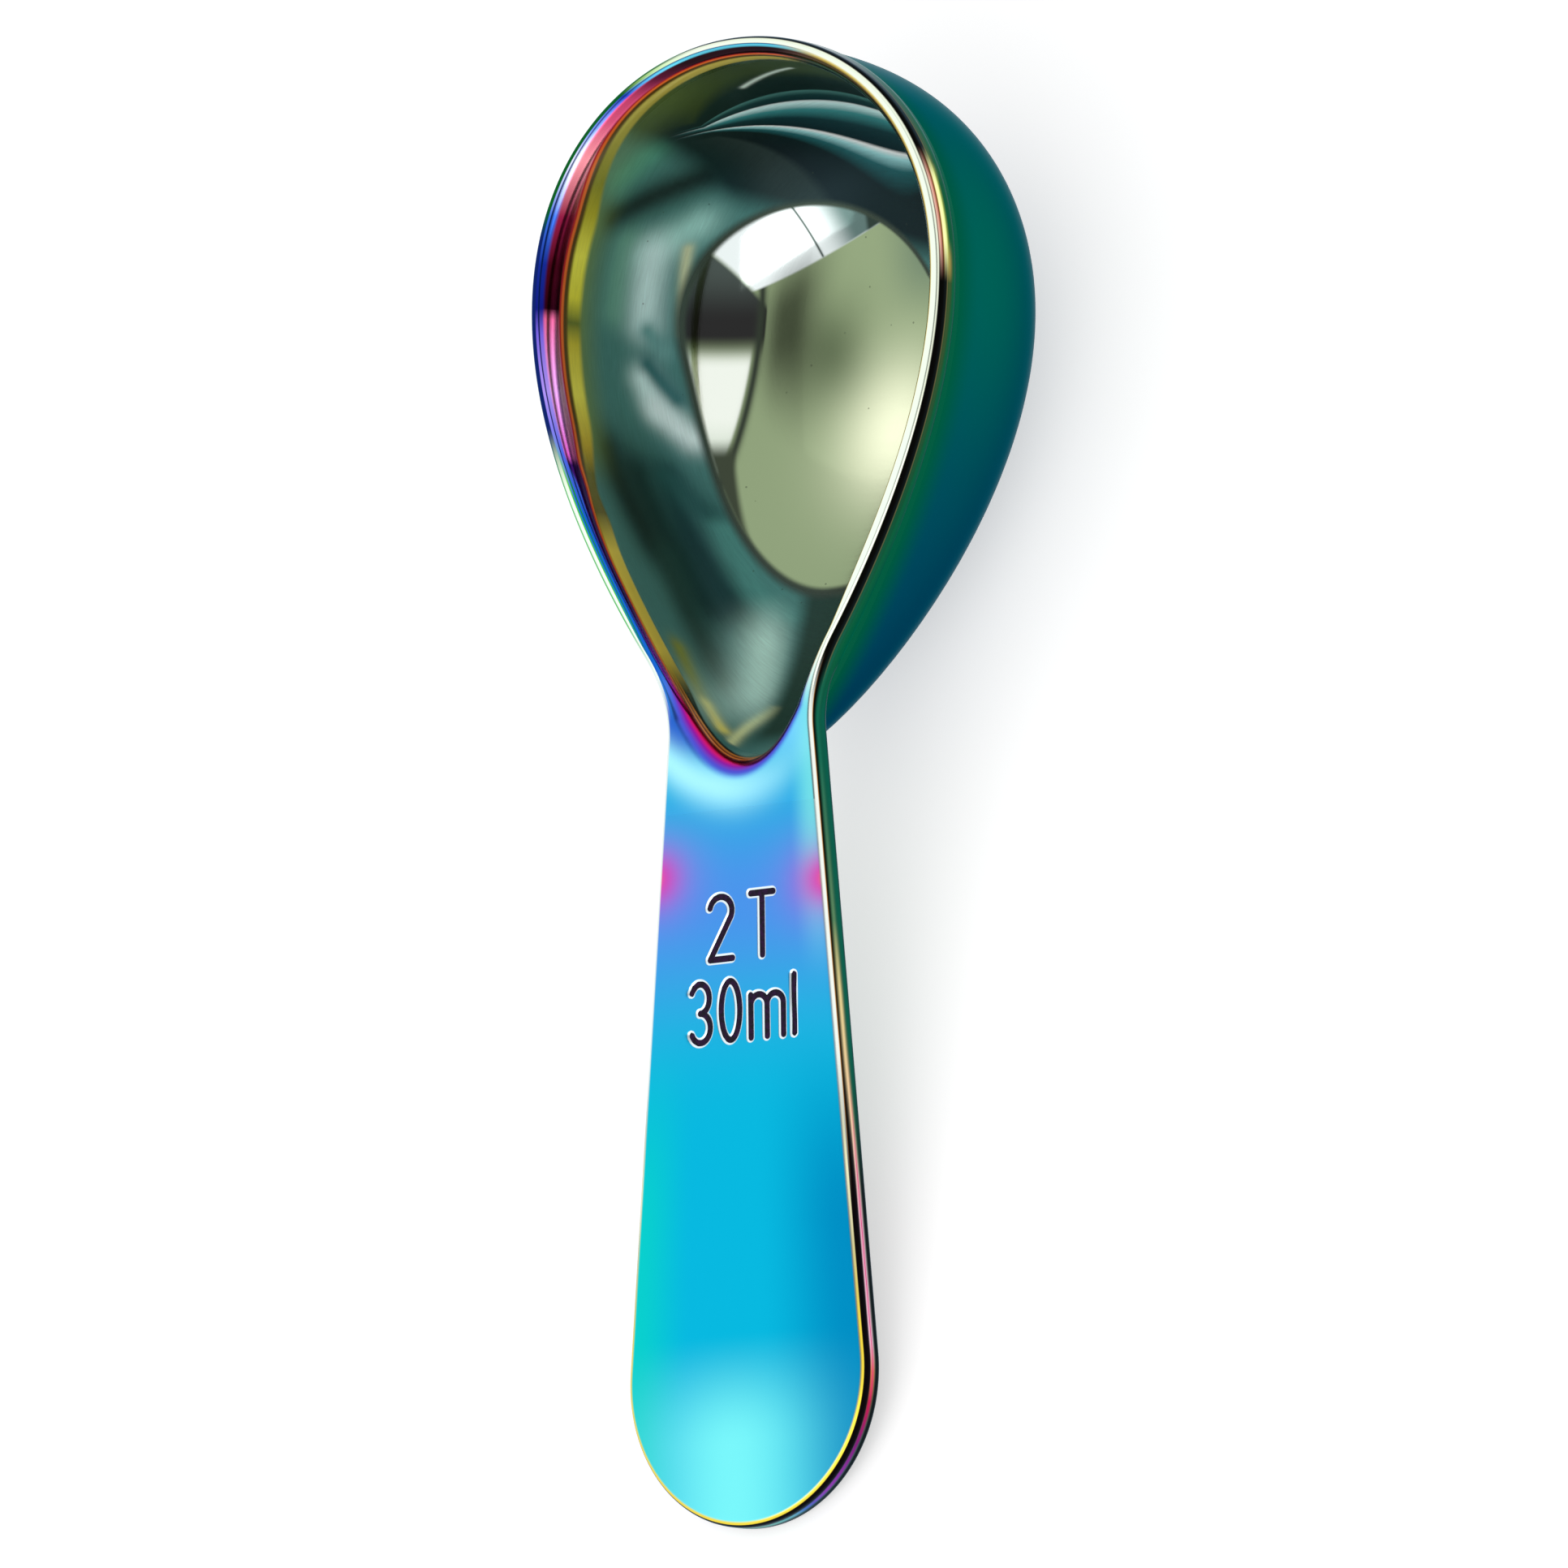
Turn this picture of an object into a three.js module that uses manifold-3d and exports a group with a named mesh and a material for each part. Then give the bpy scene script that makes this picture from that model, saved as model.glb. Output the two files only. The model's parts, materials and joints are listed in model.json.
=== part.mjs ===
// Coffee scoop, pressed from one thick steel sheet: a drawn bowl with an egg-shaped mouth, a rounded rim
// and a flat handle that widens to a round end, engraved with its capacity.
// Millimetres, +Z up. The sheet is drawn level, with its top face at Z = 0, the nose towards +Y, and
// X = Y = 0 at the widest place of the mouth. The whole is then tilted to the way it lies on a table.

import * as THREE from 'three';
import { mergeVertices } from 'three/addons/utils/BufferGeometryUtils.js';
import Module from 'manifold-3d';

const wasm = await Module();
wasm.setup();

// Mouth and bowl, measured on the inside
const mouthHalfWidth = 20.5;
const mouthNose = 20.5; // from the widest place to the nose
const mouthTip = 39.4; // from the widest place to the tip at the neck
const mouthTaper = 0.477; // how much fuller the nose end is than the tip end
const mouthBelly = -0.103; // how much both ends are drawn in
const bowlDepth = 21.75;
const bowlWall = 1.5;
const sidePower = 3.2; // superellipse power of the sides: 2 is round, more is squarer
const keelPower = 1.7; // how soon the keel rises towards the tip

// Sheet and rim
const sheetThickness = 2.3;
const edgeRounding = 0.6;
const edgeShare = 0.45; // most of the thickness that one rounding may take
const rimOverhang = 0.3; // rim edge beyond the outside of the bowl
const rimTipLead = 0.3; // the sides of the rim would meet this far before the tip of the mouth
const rimTaper = 0.394;
const rimBelly = -0.082;
const entryDepth = 2.0; // rounding from the top face into the bowl
const entryTipWidth = 2.8; // its width at the tip, where the handle runs into the bowl
const entryTaperGain = 0.06; // how much more its outer edge tapers than the mouth
const entryBellyGain = -0.048;

// Handle
const handleLength = 65.3; // from the tip of the mouth to the end
const endRadius = 12.8;
const neckWidth = 16.24; // between the straight sides, level with the tip of the mouth
const neckLead = 3.7; // length of the neck's curve before the corner of rim and handle
const neckTrail = 4.1; // and behind it

// Where the bowl, the rim and the handle are told apart
const rimSkirt = 0.7; // bowl wall that counts as rim, below the sheet
const neckShelf = 1.4; // flat sheet that counts as rim, behind the entry at the tip
const seam = 0.05;

// Capacity mark: two rows of engraved signs, with dark fill
const markStroke = 0.66;
const markDepth = 0.3;
const markClearance = 0.04;
const markSink = 0.1; // fill below the top face
const markLead = 7.4; // from the neck seam to the first row
const spoonRowHeight = 5.3;
const spoonRowGap = 2.05; // between signs, stroke centre to stroke centre
const metricRowHeight = 5.0;
const metricRowGap = 1.2;
const rowGap = 1.95; // between the rows
const twoWidth = 2.4;
const twoBow = [165, -38]; // degrees, from the start of the bow to where it runs straight
const teeWidth = 2.4;
const threeWidth = 2.1;
const threeUpperWidth = 1.93;
const threeOpening = 155; // degrees, where both bows end
const zeroWidth = 2.0;
const zeroLap = 5; // degrees, by which its halves overlap at each end
const emWidth = 3.5;
const emHeight = 3.6;

// Facets and steps
const loopCount = 60; // around an egg
const ringCount = 11; // down the bowl
const rimSteps = 24; // along one side of the rim
const entrySteps = 3;
const edgeSteps = 2;
const neckSteps = 10; // also around the end
const strokeSteps = 9; // along a bow
const strokeEndSteps = 3;
const halvings = 40; // to find the corner of rim and handle
const tiltSteps = 200; // along the keel, to find where it lies
const nudge = 0.001; // radians, to find the direction of the rim
const weld = 1e-4;
const headroom = 2; // how far a cutter stands clear of what it cuts

// Worked out from the sizes above
const edgeRadius = Math.min(edgeRounding, edgeShare * sheetThickness);
const rimReach = bowlWall + rimOverhang; // from the mouth to the edge of the rim
const rimTip = mouthTip - rimTipLead;
const rimNose = mouthNose + rimReach;
const entryWidth = rimReach - edgeRadius;
const endStation = mouthTip + handleLength - endRadius; // to the centre of the round end
const rimFloor = -sheetThickness - rimSkirt;
const neckCut = -(mouthTip + Math.max(entryTipWidth, bowlWall) + neckShelf);
const spoonRowY = neckCut - markLead - spoonRowHeight / 2;
const metricRowY = spoonRowY - spoonRowHeight / 2 - rowGap - metricRowHeight / 2;

const coatedSteel = new THREE.MeshStandardMaterial({ color: 0x2fb4d8, roughness: 0.22, metalness: 1 });
const bowlSteel = new THREE.MeshStandardMaterial({ color: 0x14706a, roughness: 0.25, metalness: 1 });
const rimSteel = new THREE.MeshStandardMaterial({ color: 0x4a3f9a, roughness: 0.2, metalness: 1 });
const markFill = new THREE.MeshStandardMaterial({ color: 0x150c24, roughness: 0.6, metalness: 0.2 });

// Solids and cuts

function solidOf(geometry) {
  const bare = geometry.clone();
  bare.deleteAttribute('normal');
  bare.deleteAttribute('uv');
  const merged = mergeVertices(bare, weld);
  const vertProperties = new Float32Array(merged.attributes.position.array);
  const triVerts = new Uint32Array(merged.index.array);
  return new wasm.Manifold(new wasm.Mesh({ numProp: 3, vertProperties, triVerts }));
}

function meshOf(name, solid, material) {
  const { vertProperties, triVerts } = solid.getMesh();
  const geometry = new THREE.BufferGeometry();
  geometry.setAttribute('position', new THREE.BufferAttribute(new Float32Array(vertProperties), 3));
  geometry.setIndex(new THREE.BufferAttribute(new Uint32Array(triVerts), 1));
  geometry.computeVertexNormals();
  const mesh = new THREE.Mesh(geometry, material);
  mesh.name = name;
  return mesh;
}

function blockBetween(low, high) {
  const size = new THREE.Vector3().subVectors(high, low);
  const block = new THREE.BoxGeometry(size.x, size.y, size.z);
  block.translate((low.x + high.x) / 2, (low.y + high.y) / 2, (low.z + high.z) / 2);
  return solidOf(block);
}

// A closed solid through rings of points, from the top down to a pole: each runs nose, right, tip, left
function loft(rings, pole) {
  const count = rings[0].length;
  const points = [...rings.flat(), new THREE.Vector3(0, 0, rings[0][0].z), pole];
  const lid = points.length - 2;
  const foot = points.length - 1;
  const index = [];
  for (let i = 0; i < count; i += 1) {
    const next = (i + 1) % count;
    index.push(lid, next, i);
    for (let ring = 0; ring < rings.length - 1; ring += 1) {
      const upper = ring * count;
      const lower = upper + count;
      index.push(upper + i, upper + next, lower + i);
      index.push(upper + next, lower + next, lower + i);
    }
    const last = (rings.length - 1) * count;
    index.push(foot, last + i, last + next);
  }
  const geometry = new THREE.BufferGeometry().setFromPoints(points);
  geometry.setIndex(index);
  return solidOf(geometry);
}

// Egg outline: y is a cosine from nose to tip, x a sine that is fuller towards the nose

function eggFullness(angle, taper, belly) {
  const along = Math.cos(angle);
  return Math.sin(angle) * (1 + taper * along + belly * along * along);
}

function eggPoint(angle, halfWidth, nose, tip, taper, belly) {
  let widest = 0;
  for (let i = 0; i <= loopCount; i += 1) {
    widest = Math.max(widest, eggFullness((Math.PI * i) / loopCount, taper, belly));
  }
  const x = (halfWidth * eggFullness(angle, taper, belly)) / widest;
  const y = (nose - tip) / 2 + ((nose + tip) / 2) * Math.cos(angle);
  return new THREE.Vector2(x, y);
}

function eggLoop(z, halfWidth, nose, tip, taper, belly) {
  const loop = [];
  for (let i = 0; i < loopCount; i += 1) {
    const point = eggPoint((2 * Math.PI * i) / loopCount, halfWidth, nose, tip, taper, belly);
    loop.push(new THREE.Vector3(point.x, point.y, z));
  }
  return loop;
}

// Level slices of the bowl, at a share of its depth: the sides follow a superellipse, the keel rises
// sooner towards the tip, and the egg fades into an ellipse at the floor. Skin lies outside the inner face,
// and grow is the share of the entry by which a slice near the mouth opens.

function keelReach(share, skin) {
  return (mouthTip + skin) * Math.sqrt(1 - share ** keelPower);
}

function bowlSlice(share, skin, grow = 0) {
  const side = (1 - share ** sidePower) ** (1 / sidePower);
  const egg = 1 - share;
  const z = -(bowlDepth + skin) * share;
  const halfWidth = (mouthHalfWidth + skin) * side + entryWidth * grow;
  const nose = (mouthNose + skin) * side + entryWidth * grow;
  const tip = keelReach(share, skin) + entryTipWidth * grow;
  const taper = mouthTaper * egg + entryTaperGain * grow;
  const belly = mouthBelly * egg + entryBellyGain * grow;
  return eggLoop(z, halfWidth, nose, tip, taper, belly);
}

function bowlSlices(startDepth, skin) {
  const first = Math.asin((startDepth / (bowlDepth + skin)) ** (sidePower / 2));
  const slices = [];
  for (let i = 0; i < ringCount; i += 1) {
    const angle = first + ((Math.PI / 2 - first) * i) / ringCount;
    slices.push(bowlSlice(Math.sin(angle) ** (2 / sidePower), skin));
  }
  return slices;
}

function bowlOutside() {
  return loft(bowlSlices(sheetThickness / 2, bowlWall), new THREE.Vector3(0, 0, -bowlDepth - bowlWall));
}

// The hollow: the bowl's inside, opened at the top by the quarter round of the rim
function bowlHollow() {
  const entry = [];
  for (let i = 0; i < entrySteps; i += 1) {
    const angle = ((Math.PI / 2) * i) / entrySteps;
    const depth = entryDepth * (1 - Math.cos(angle));
    entry.push(bowlSlice(depth / bowlDepth, 0, 1 - Math.sin(angle)));
  }
  const lid = entry[0].map((point) => new THREE.Vector3(point.x, point.y, headroom));
  return loft([lid, ...entry, ...bowlSlices(entryDepth, 0)], new THREE.Vector3(0, 0, -bowlDepth));
}

// Outline of the sheet: the rim's egg, a curve through the neck, straight sides and the round end

function rimPoint(angle) {
  return eggPoint(angle, mouthHalfWidth + rimReach, rimNose, rimTip, rimTaper, rimBelly);
}

function rimAngleAt(y) {
  return Math.acos((2 * y - rimNose + rimTip) / (rimNose + rimTip));
}

function crossing(from, along, to, back) {
  const gap = new THREE.Vector2().subVectors(to, from);
  const share = gap.cross(back) / along.cross(back);
  return from.clone().addScaledVector(along, share);
}

function sheetOutline() {
  const neck = new THREE.Vector2(neckWidth / 2, -mouthTip);
  const endCentre = new THREE.Vector2(0, -endStation);
  const toNeck = new THREE.Vector2().subVectors(neck, endCentre);
  const touch = toNeck.angle() - Math.acos(endRadius / toNeck.length());
  const outward = new THREE.Vector2(Math.cos(touch), Math.sin(touch));
  const sideEnd = endCentre.clone().addScaledVector(outward, endRadius);
  const sideAlong = new THREE.Vector2().subVectors(sideEnd, neck).normalize();
  const sideAt = (y) => neck.clone().addScaledVector(sideAlong, (y - neck.y) / sideAlong.y);

  // The corner where the egg would run into the straight side, found by halving
  let above = 0;
  let below = rimTip;
  for (let i = 0; i < halvings; i += 1) {
    const middle = (above + below) / 2;
    const outside = rimPoint(rimAngleAt(-middle)).x > sideAt(-middle).x;
    above = outside ? middle : above;
    below = outside ? below : middle;
  }
  const sideStart = sideAt(-above - neckTrail);
  const joinAngle = rimAngleAt(neckLead - above);
  const rimSide = [];
  for (let i = 0; i <= rimSteps; i += 1) {
    rimSide.push(rimPoint((joinAngle * i) / rimSteps));
  }
  const join = rimSide[rimSteps];
  const rimAlong = new THREE.Vector2().subVectors(rimPoint(joinAngle + nudge), rimPoint(joinAngle - nudge));
  const bend = crossing(join, rimAlong, sideStart, sideAlong);

  const shape = new THREE.Shape(rimSide);
  shape.quadraticCurveTo(bend.x, bend.y, sideStart.x, sideStart.y);
  shape.lineTo(sideEnd.x, sideEnd.y);
  shape.absarc(endCentre.x, endCentre.y, endRadius, touch, Math.PI - touch, true);
  shape.lineTo(-sideStart.x, sideStart.y);
  shape.quadraticCurveTo(-bend.x, bend.y, -join.x, join.y);
  for (let i = rimSteps - 1; i > 0; i -= 1) {
    shape.lineTo(-rimSide[i].x, rimSide[i].y);
  }
  return shape;
}

function sheet() {
  const geometry = new THREE.ExtrudeGeometry(sheetOutline(), {
    depth: sheetThickness - 2 * edgeRadius,
    curveSegments: neckSteps,
    bevelThickness: edgeRadius,
    bevelSize: edgeRadius,
    bevelOffset: -edgeRadius,
    bevelSegments: edgeSteps,
  });
  geometry.translate(0, 0, edgeRadius - sheetThickness);
  return solidOf(geometry);
}

// Engraved signs, drawn as single strokes with round ends

function arcPath(x, y, radiusX, radiusY, fromDegrees, toDegrees) {
  const start = THREE.MathUtils.degToRad(fromDegrees);
  const end = THREE.MathUtils.degToRad(toDegrees);
  const clockwise = toDegrees < fromDegrees;
  return new THREE.EllipseCurve(x, y, radiusX, radiusY, start, end, clockwise).getPoints(strokeSteps);
}

function linePath(...pairs) {
  return pairs.map(([x, y]) => new THREE.Vector2(x, y));
}

// A stroke along a smooth path: its two offset sides, joined by half circles
function strokeShape(path, width) {
  const half = width / 2;
  const right = [];
  const left = [];
  path.forEach((point, i) => {
    const before = path[Math.max(i - 1, 0)];
    const after = path[Math.min(i + 1, path.length - 1)];
    const along = new THREE.Vector2().subVectors(after, before).normalize();
    const across = new THREE.Vector2(along.y, -along.x).multiplyScalar(half);
    right.push(point.clone().add(across));
    left.unshift(point.clone().sub(across));
  });
  const shape = new THREE.Shape(right);
  const last = path[path.length - 1];
  const outward = new THREE.Vector2().subVectors(right[right.length - 1], last).angle();
  shape.absarc(last.x, last.y, half, outward, outward + Math.PI, false);
  left.slice(1).forEach((point) => shape.lineTo(point.x, point.y));
  const first = path[0];
  const inward = new THREE.Vector2().subVectors(left[left.length - 1], first).angle();
  shape.absarc(first.x, first.y, half, inward, inward + Math.PI, false);
  return shape;
}

function signSolid(paths, width, low, high) {
  let sign = null;
  for (const path of paths) {
    const options = { depth: high - low, bevelEnabled: false, curveSegments: strokeEndSteps };
    const geometry = new THREE.ExtrudeGeometry(strokeShape(path, width), options);
    geometry.translate(0, 0, low);
    const stroke = solidOf(geometry);
    sign = sign ? sign.add(stroke) : stroke;
  }
  return sign;
}

// Each sign stands at x in a row with a foot and a top

function twoPaths(x, foot, top) {
  const radius = twoWidth / 2;
  const bow = arcPath(x, top - radius, radius, radius, ...twoBow);
  const base = linePath([x - radius, foot], [x + radius, foot]);
  return [[...bow, base[0]], base];
}

function teePaths(x, foot, top) {
  return [linePath([x - teeWidth / 2, top], [x + teeWidth / 2, top]), linePath([x, top], [x, foot])];
}

function threePaths(x, foot, top) {
  const middle = (foot + top) / 2;
  const quarter = (top - foot) / 4;
  const upper = arcPath(x, middle + quarter, threeUpperWidth / 2, quarter, threeOpening, -90);
  const lower = arcPath(x, middle - quarter, threeWidth / 2, quarter, 90, -threeOpening);
  return [upper, lower];
}

function zeroPaths(x, foot, top) {
  const middle = (foot + top) / 2;
  const half = (top - foot) / 2;
  const right = arcPath(x, middle, zeroWidth / 2, half, 90 + zeroLap, -90 - zeroLap);
  const left = arcPath(x, middle, zeroWidth / 2, half, 90 - zeroLap, 270 + zeroLap);
  return [right, left];
}

function emPaths(x, foot) {
  const radius = emWidth / 4;
  const spring = foot + emHeight - radius;
  const arch = (centre) => [
    ...arcPath(centre, spring, radius, radius, 180, 0),
    new THREE.Vector2(centre + radius, foot),
  ];
  const stem = linePath([x - emWidth / 2, foot + emHeight], [x - emWidth / 2, foot]);
  return [stem, arch(x - radius), arch(x + radius)];
}

function ellPaths(x, foot, top) {
  return [linePath([x, top], [x, foot])];
}

// A row of signs about the centre line, side by side from the left
function rowOfSigns(signs, y, height, gap) {
  let x = -signs.reduce((sum, sign) => sum + sign.width, gap * (signs.length - 1)) / 2;
  return signs.map(({ name, width, paths }) => {
    const centre = x + width / 2;
    x += width + gap;
    return { name, paths: paths(centre, y - height / 2, y + height / 2) };
  });
}

const spoonRow = [
  { name: 'mark_2', width: twoWidth, paths: twoPaths },
  { name: 'mark_T', width: teeWidth, paths: teePaths },
];
const metricRow = [
  { name: 'mark_3', width: threeWidth, paths: threePaths },
  { name: 'mark_0', width: zeroWidth, paths: zeroPaths },
  { name: 'mark_m', width: emWidth, paths: emPaths },
  { name: 'mark_l', width: 0, paths: ellPaths },
];
const signs = [
  ...rowOfSigns(spoonRow, spoonRowY, spoonRowHeight, spoonRowGap),
  ...rowOfSigns(metricRow, metricRowY, metricRowHeight, metricRowGap),
];

// The scoop, level

const body = sheet().add(bowlOutside()).subtract(bowlHollow());
const reachX = mouthHalfWidth + rimReach + endRadius + headroom;
const farNose = rimNose + headroom;
const farEnd = endStation + endRadius + headroom;
const floorZ = -bowlDepth - bowlWall - headroom;

const bowlBlock = blockBetween(
  new THREE.Vector3(-reachX, neckCut, floorZ),
  new THREE.Vector3(reachX, farNose, rimFloor - seam),
);
const rimBlock = blockBetween(
  new THREE.Vector3(-reachX, neckCut + seam, rimFloor),
  new THREE.Vector3(reachX, farNose, headroom),
);
const handleBlock = blockBetween(
  new THREE.Vector3(-reachX, -farEnd, floorZ),
  new THREE.Vector3(reachX, neckCut, headroom),
);

let handle = body.intersect(handleBlock);
const scoop = new THREE.Group();
scoop.add(meshOf('bowl', body.intersect(bowlBlock), bowlSteel));
scoop.add(meshOf('rim', body.intersect(rimBlock), rimSteel));
for (const { name, paths } of signs) {
  handle = handle.subtract(signSolid(paths, markStroke, -markDepth, headroom));
  const fill = signSolid(paths, markStroke - 2 * markClearance, markClearance - markDepth, -markSink);
  scoop.add(meshOf(name, fill, markFill));
}
scoop.add(meshOf('handle', handle, coatedSteel));

// It lies on the back of the bowl and the end of the handle: the steepest line from the end to the keel

const endY = edgeRadius - endStation - endRadius;
let restTilt = 0;
for (let i = 1; i < tiltSteps; i += 1) {
  const share = i / tiltSteps;
  const rise = (bowlDepth + bowlWall) * share - sheetThickness;
  restTilt = Math.max(restTilt, Math.atan2(rise, -keelReach(share, bowlWall) - endY));
}
scoop.rotation.x = restTilt;

// The origin is below the middle of the scoop, on the table

const part = new THREE.Group();
part.add(scoop);
part.updateMatrixWorld(true);
const extent = new THREE.Box3().setFromObject(part, true);
scoop.position.set(0, -(extent.min.y + extent.max.y) / 2, -extent.min.z);

export default part;
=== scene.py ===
# Coffee scoop: one thick steel sheet pressed into a deep bowl and a flat handle, then rainbow coated.

import json
import math

import bmesh
import bpy
import numpy as np
from mathutils import Matrix


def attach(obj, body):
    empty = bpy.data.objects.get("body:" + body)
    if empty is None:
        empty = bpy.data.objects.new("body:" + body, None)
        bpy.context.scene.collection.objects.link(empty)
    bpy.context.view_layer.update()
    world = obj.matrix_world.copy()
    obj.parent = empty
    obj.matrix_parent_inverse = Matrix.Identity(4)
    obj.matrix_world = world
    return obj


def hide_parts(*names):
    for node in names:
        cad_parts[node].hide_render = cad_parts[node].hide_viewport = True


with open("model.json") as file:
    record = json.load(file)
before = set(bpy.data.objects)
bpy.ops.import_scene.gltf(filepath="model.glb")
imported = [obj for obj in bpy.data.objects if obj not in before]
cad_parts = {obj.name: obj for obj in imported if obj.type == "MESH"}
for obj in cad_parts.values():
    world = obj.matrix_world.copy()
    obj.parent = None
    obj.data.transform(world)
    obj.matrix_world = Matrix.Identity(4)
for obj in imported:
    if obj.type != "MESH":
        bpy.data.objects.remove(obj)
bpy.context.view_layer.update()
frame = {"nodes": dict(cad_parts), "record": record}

# Bowl
# The drawn bowl below the rim: steel of 1.5 mm with an egg-shaped mouth and a keel that rises to the neck.
# It is pressed from the same sheet as the rim and the handle, mirror polished inside and satin outside.

mm = 0.001
mount_station = 80.0  # the mount on the handle's top face lies this far behind the widest place of the mouth
handle_top = next(mount for mount in frame["record"]["mounts"] if mount["name"] == "handle_top")
across = np.array((1.0, 0.0, 0.0))
up = np.array(handle_top["axis"])
noseward = np.cross(up, across)
level_axes = np.array((across, noseward, up))  # the sheet is drawn level, in mm, with its top face at z = 0
level_origin = np.array(handle_top["pos_m"]) + mount_station * mm * noseward

mouth_half = 20.5
mouth_nose = 20.5
mouth_tip = 39.4
mouth_taper = 0.477
mouth_belly = -0.103
bowl_depth = 21.75
bowl_wall = 1.5
side_power = 3.2
keel_power = 1.7
rim_floor = 3.0  # depth at which the bowl counts as rim
entry_depth = 2.0
entry_length = 2.5  # around the rounding
tip_round = 0.12
tip_round_power = 8
seam_step = 0.02  # rows this close on both sides of a seam make it smooth
floor_crowding = 1.6
bowl_columns = 480
wall_rows = 64
merge_distance = 0.001
sharp_angle = math.radians(40)


def egg(angle, half, nose, tip, taper, belly, rounding=0.0):
    """Egg outline: y is a cosine from nose to tip, x a sine that is fuller towards the nose, to a half width.

    Rounding makes the last part before the tip fuller."""

    def fullness(turn):
        along = np.cos(turn)
        tipward = np.maximum(-along, 0) ** tip_round_power
        return np.sin(turn) * (1 + taper * along + belly * along**2 + rounding * tipward)

    widest = fullness(np.linspace(0, np.pi, 361)).max(axis=-1, keepdims=True)
    x = half * fullness(angle) / widest
    y = (nose - tip) / 2 + (nose + tip) / 2 * np.cos(angle)
    return x, y


def bowl_slices(angle, depth, skin):
    """Level slices of the bowl: superellipse sides, a keel that rises sooner, an egg that fades to an oval.

    Skin is how far the slice lies outside the inner face."""
    depth = np.reshape(depth, (-1, 1))
    share = np.clip(depth / (bowl_depth + skin), 0, 1)
    side = (1 - share**side_power) ** (1 / side_power)
    keel = np.sqrt(1 - share**keel_power)
    x, y = egg(
        angle,
        (mouth_half + skin) * side,
        (mouth_nose + skin) * side,
        (mouth_tip + skin) * keel,
        mouth_taper * (1 - share),
        mouth_belly * (1 - share),
        tip_round * (1 - share) * (1 - skin / bowl_wall),
    )
    return np.stack((x, y, np.broadcast_to(-depth, x.shape)), axis=-1)


def depths_below(start, skin, count):
    """Depths from a start to the floor, closer together where the wall turns into the floor.

    The turn goes by a power of the sine, and one more row just below the start keeps the seam flush."""
    floor = bowl_depth + skin
    first = math.asin((start / floor) ** (side_power / 2))
    turn = first + (np.pi / 2 - first) * (1 - (1 - np.linspace(0, 1, count)) ** floor_crowding)
    depths = floor * np.sin(turn) ** (2 / side_power)
    return np.insert(depths, 1, start + seam_step)


def inner_fold(depth):
    """Place on the section inside the mouth: 0 to 1 over the rim's rounding, then on at the same pace."""
    return 1 + (depth - entry_depth) / entry_length


def outer_fold(depth):
    """Place on the section outside the bowl: below -4, a tenth for each mm down."""
    return -4 - (depth - entry_depth) / 10


def grid_quads(rows, columns, closed):
    """Quads of a grid of points. Its columns close on themselves, and its rows too where closed is true."""
    row = np.arange(rows if closed else rows - 1)[:, None]
    column = np.arange(columns)[None, :]
    below = (row + 1) % rows
    after = (column + 1) % columns
    upper = (row * columns + column, row * columns + after)
    lower = (below * columns + after, below * columns + column)
    return np.stack(upper + lower, axis=-1).reshape(-1, 4)


def in_scene(name, data):
    """A new object in the scene."""
    thing = bpy.data.objects.new(name, data)
    bpy.context.scene.collection.objects.link(thing)
    return thing


def steel_piece(name, points, quads, fields, caps=()):
    """A closed mesh of level points in mm, merged at its poles, facing outwards, with fields of numbers."""
    mesh = bpy.data.meshes.new(name)
    placed = level_origin + points.reshape(-1, 3) @ level_axes * mm
    mesh.from_pydata(placed.tolist(), [], quads.tolist() + list(caps))
    for field, values in fields.items():
        layer = mesh.attributes.new(field, "FLOAT", "POINT")
        layer.data.foreach_set("value", np.ravel(values).astype(np.float32))
    work = bmesh.new()
    work.from_mesh(mesh)
    bmesh.ops.remove_doubles(work, verts=work.verts, dist=merge_distance * mm)
    bmesh.ops.dissolve_degenerate(work, edges=work.edges, dist=merge_distance / 2 * mm)
    if work.calc_volume(signed=True) < 0:
        bmesh.ops.reverse_faces(work, faces=work.faces)
    work.to_mesh(mesh)
    work.free()
    mesh.shade_smooth()
    mesh.set_sharp_from_angle(angle=sharp_angle)
    return in_scene(name, mesh)


bowl_angles = np.linspace(0, 2 * np.pi, bowl_columns, endpoint=False)
outer_depths = depths_below(rim_floor, bowl_wall, wall_rows)
inner_depths = depths_below(rim_floor, 0, wall_rows)
bowl_outside = bowl_slices(bowl_angles, outer_depths[::-1], bowl_wall)
bowl_inside = bowl_slices(bowl_angles, inner_depths, 0)
bowl_points = np.concatenate((bowl_outside, bowl_inside))
bowl_folds = np.concatenate((outer_fold(outer_depths[::-1]), inner_fold(inner_depths)))
bowl = steel_piece(
    "bowl_shell",
    bowl_points,
    grid_quads(len(bowl_points), len(bowl_angles), False),
    {"fold": np.repeat(bowl_folds, len(bowl_angles))},
)


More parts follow.
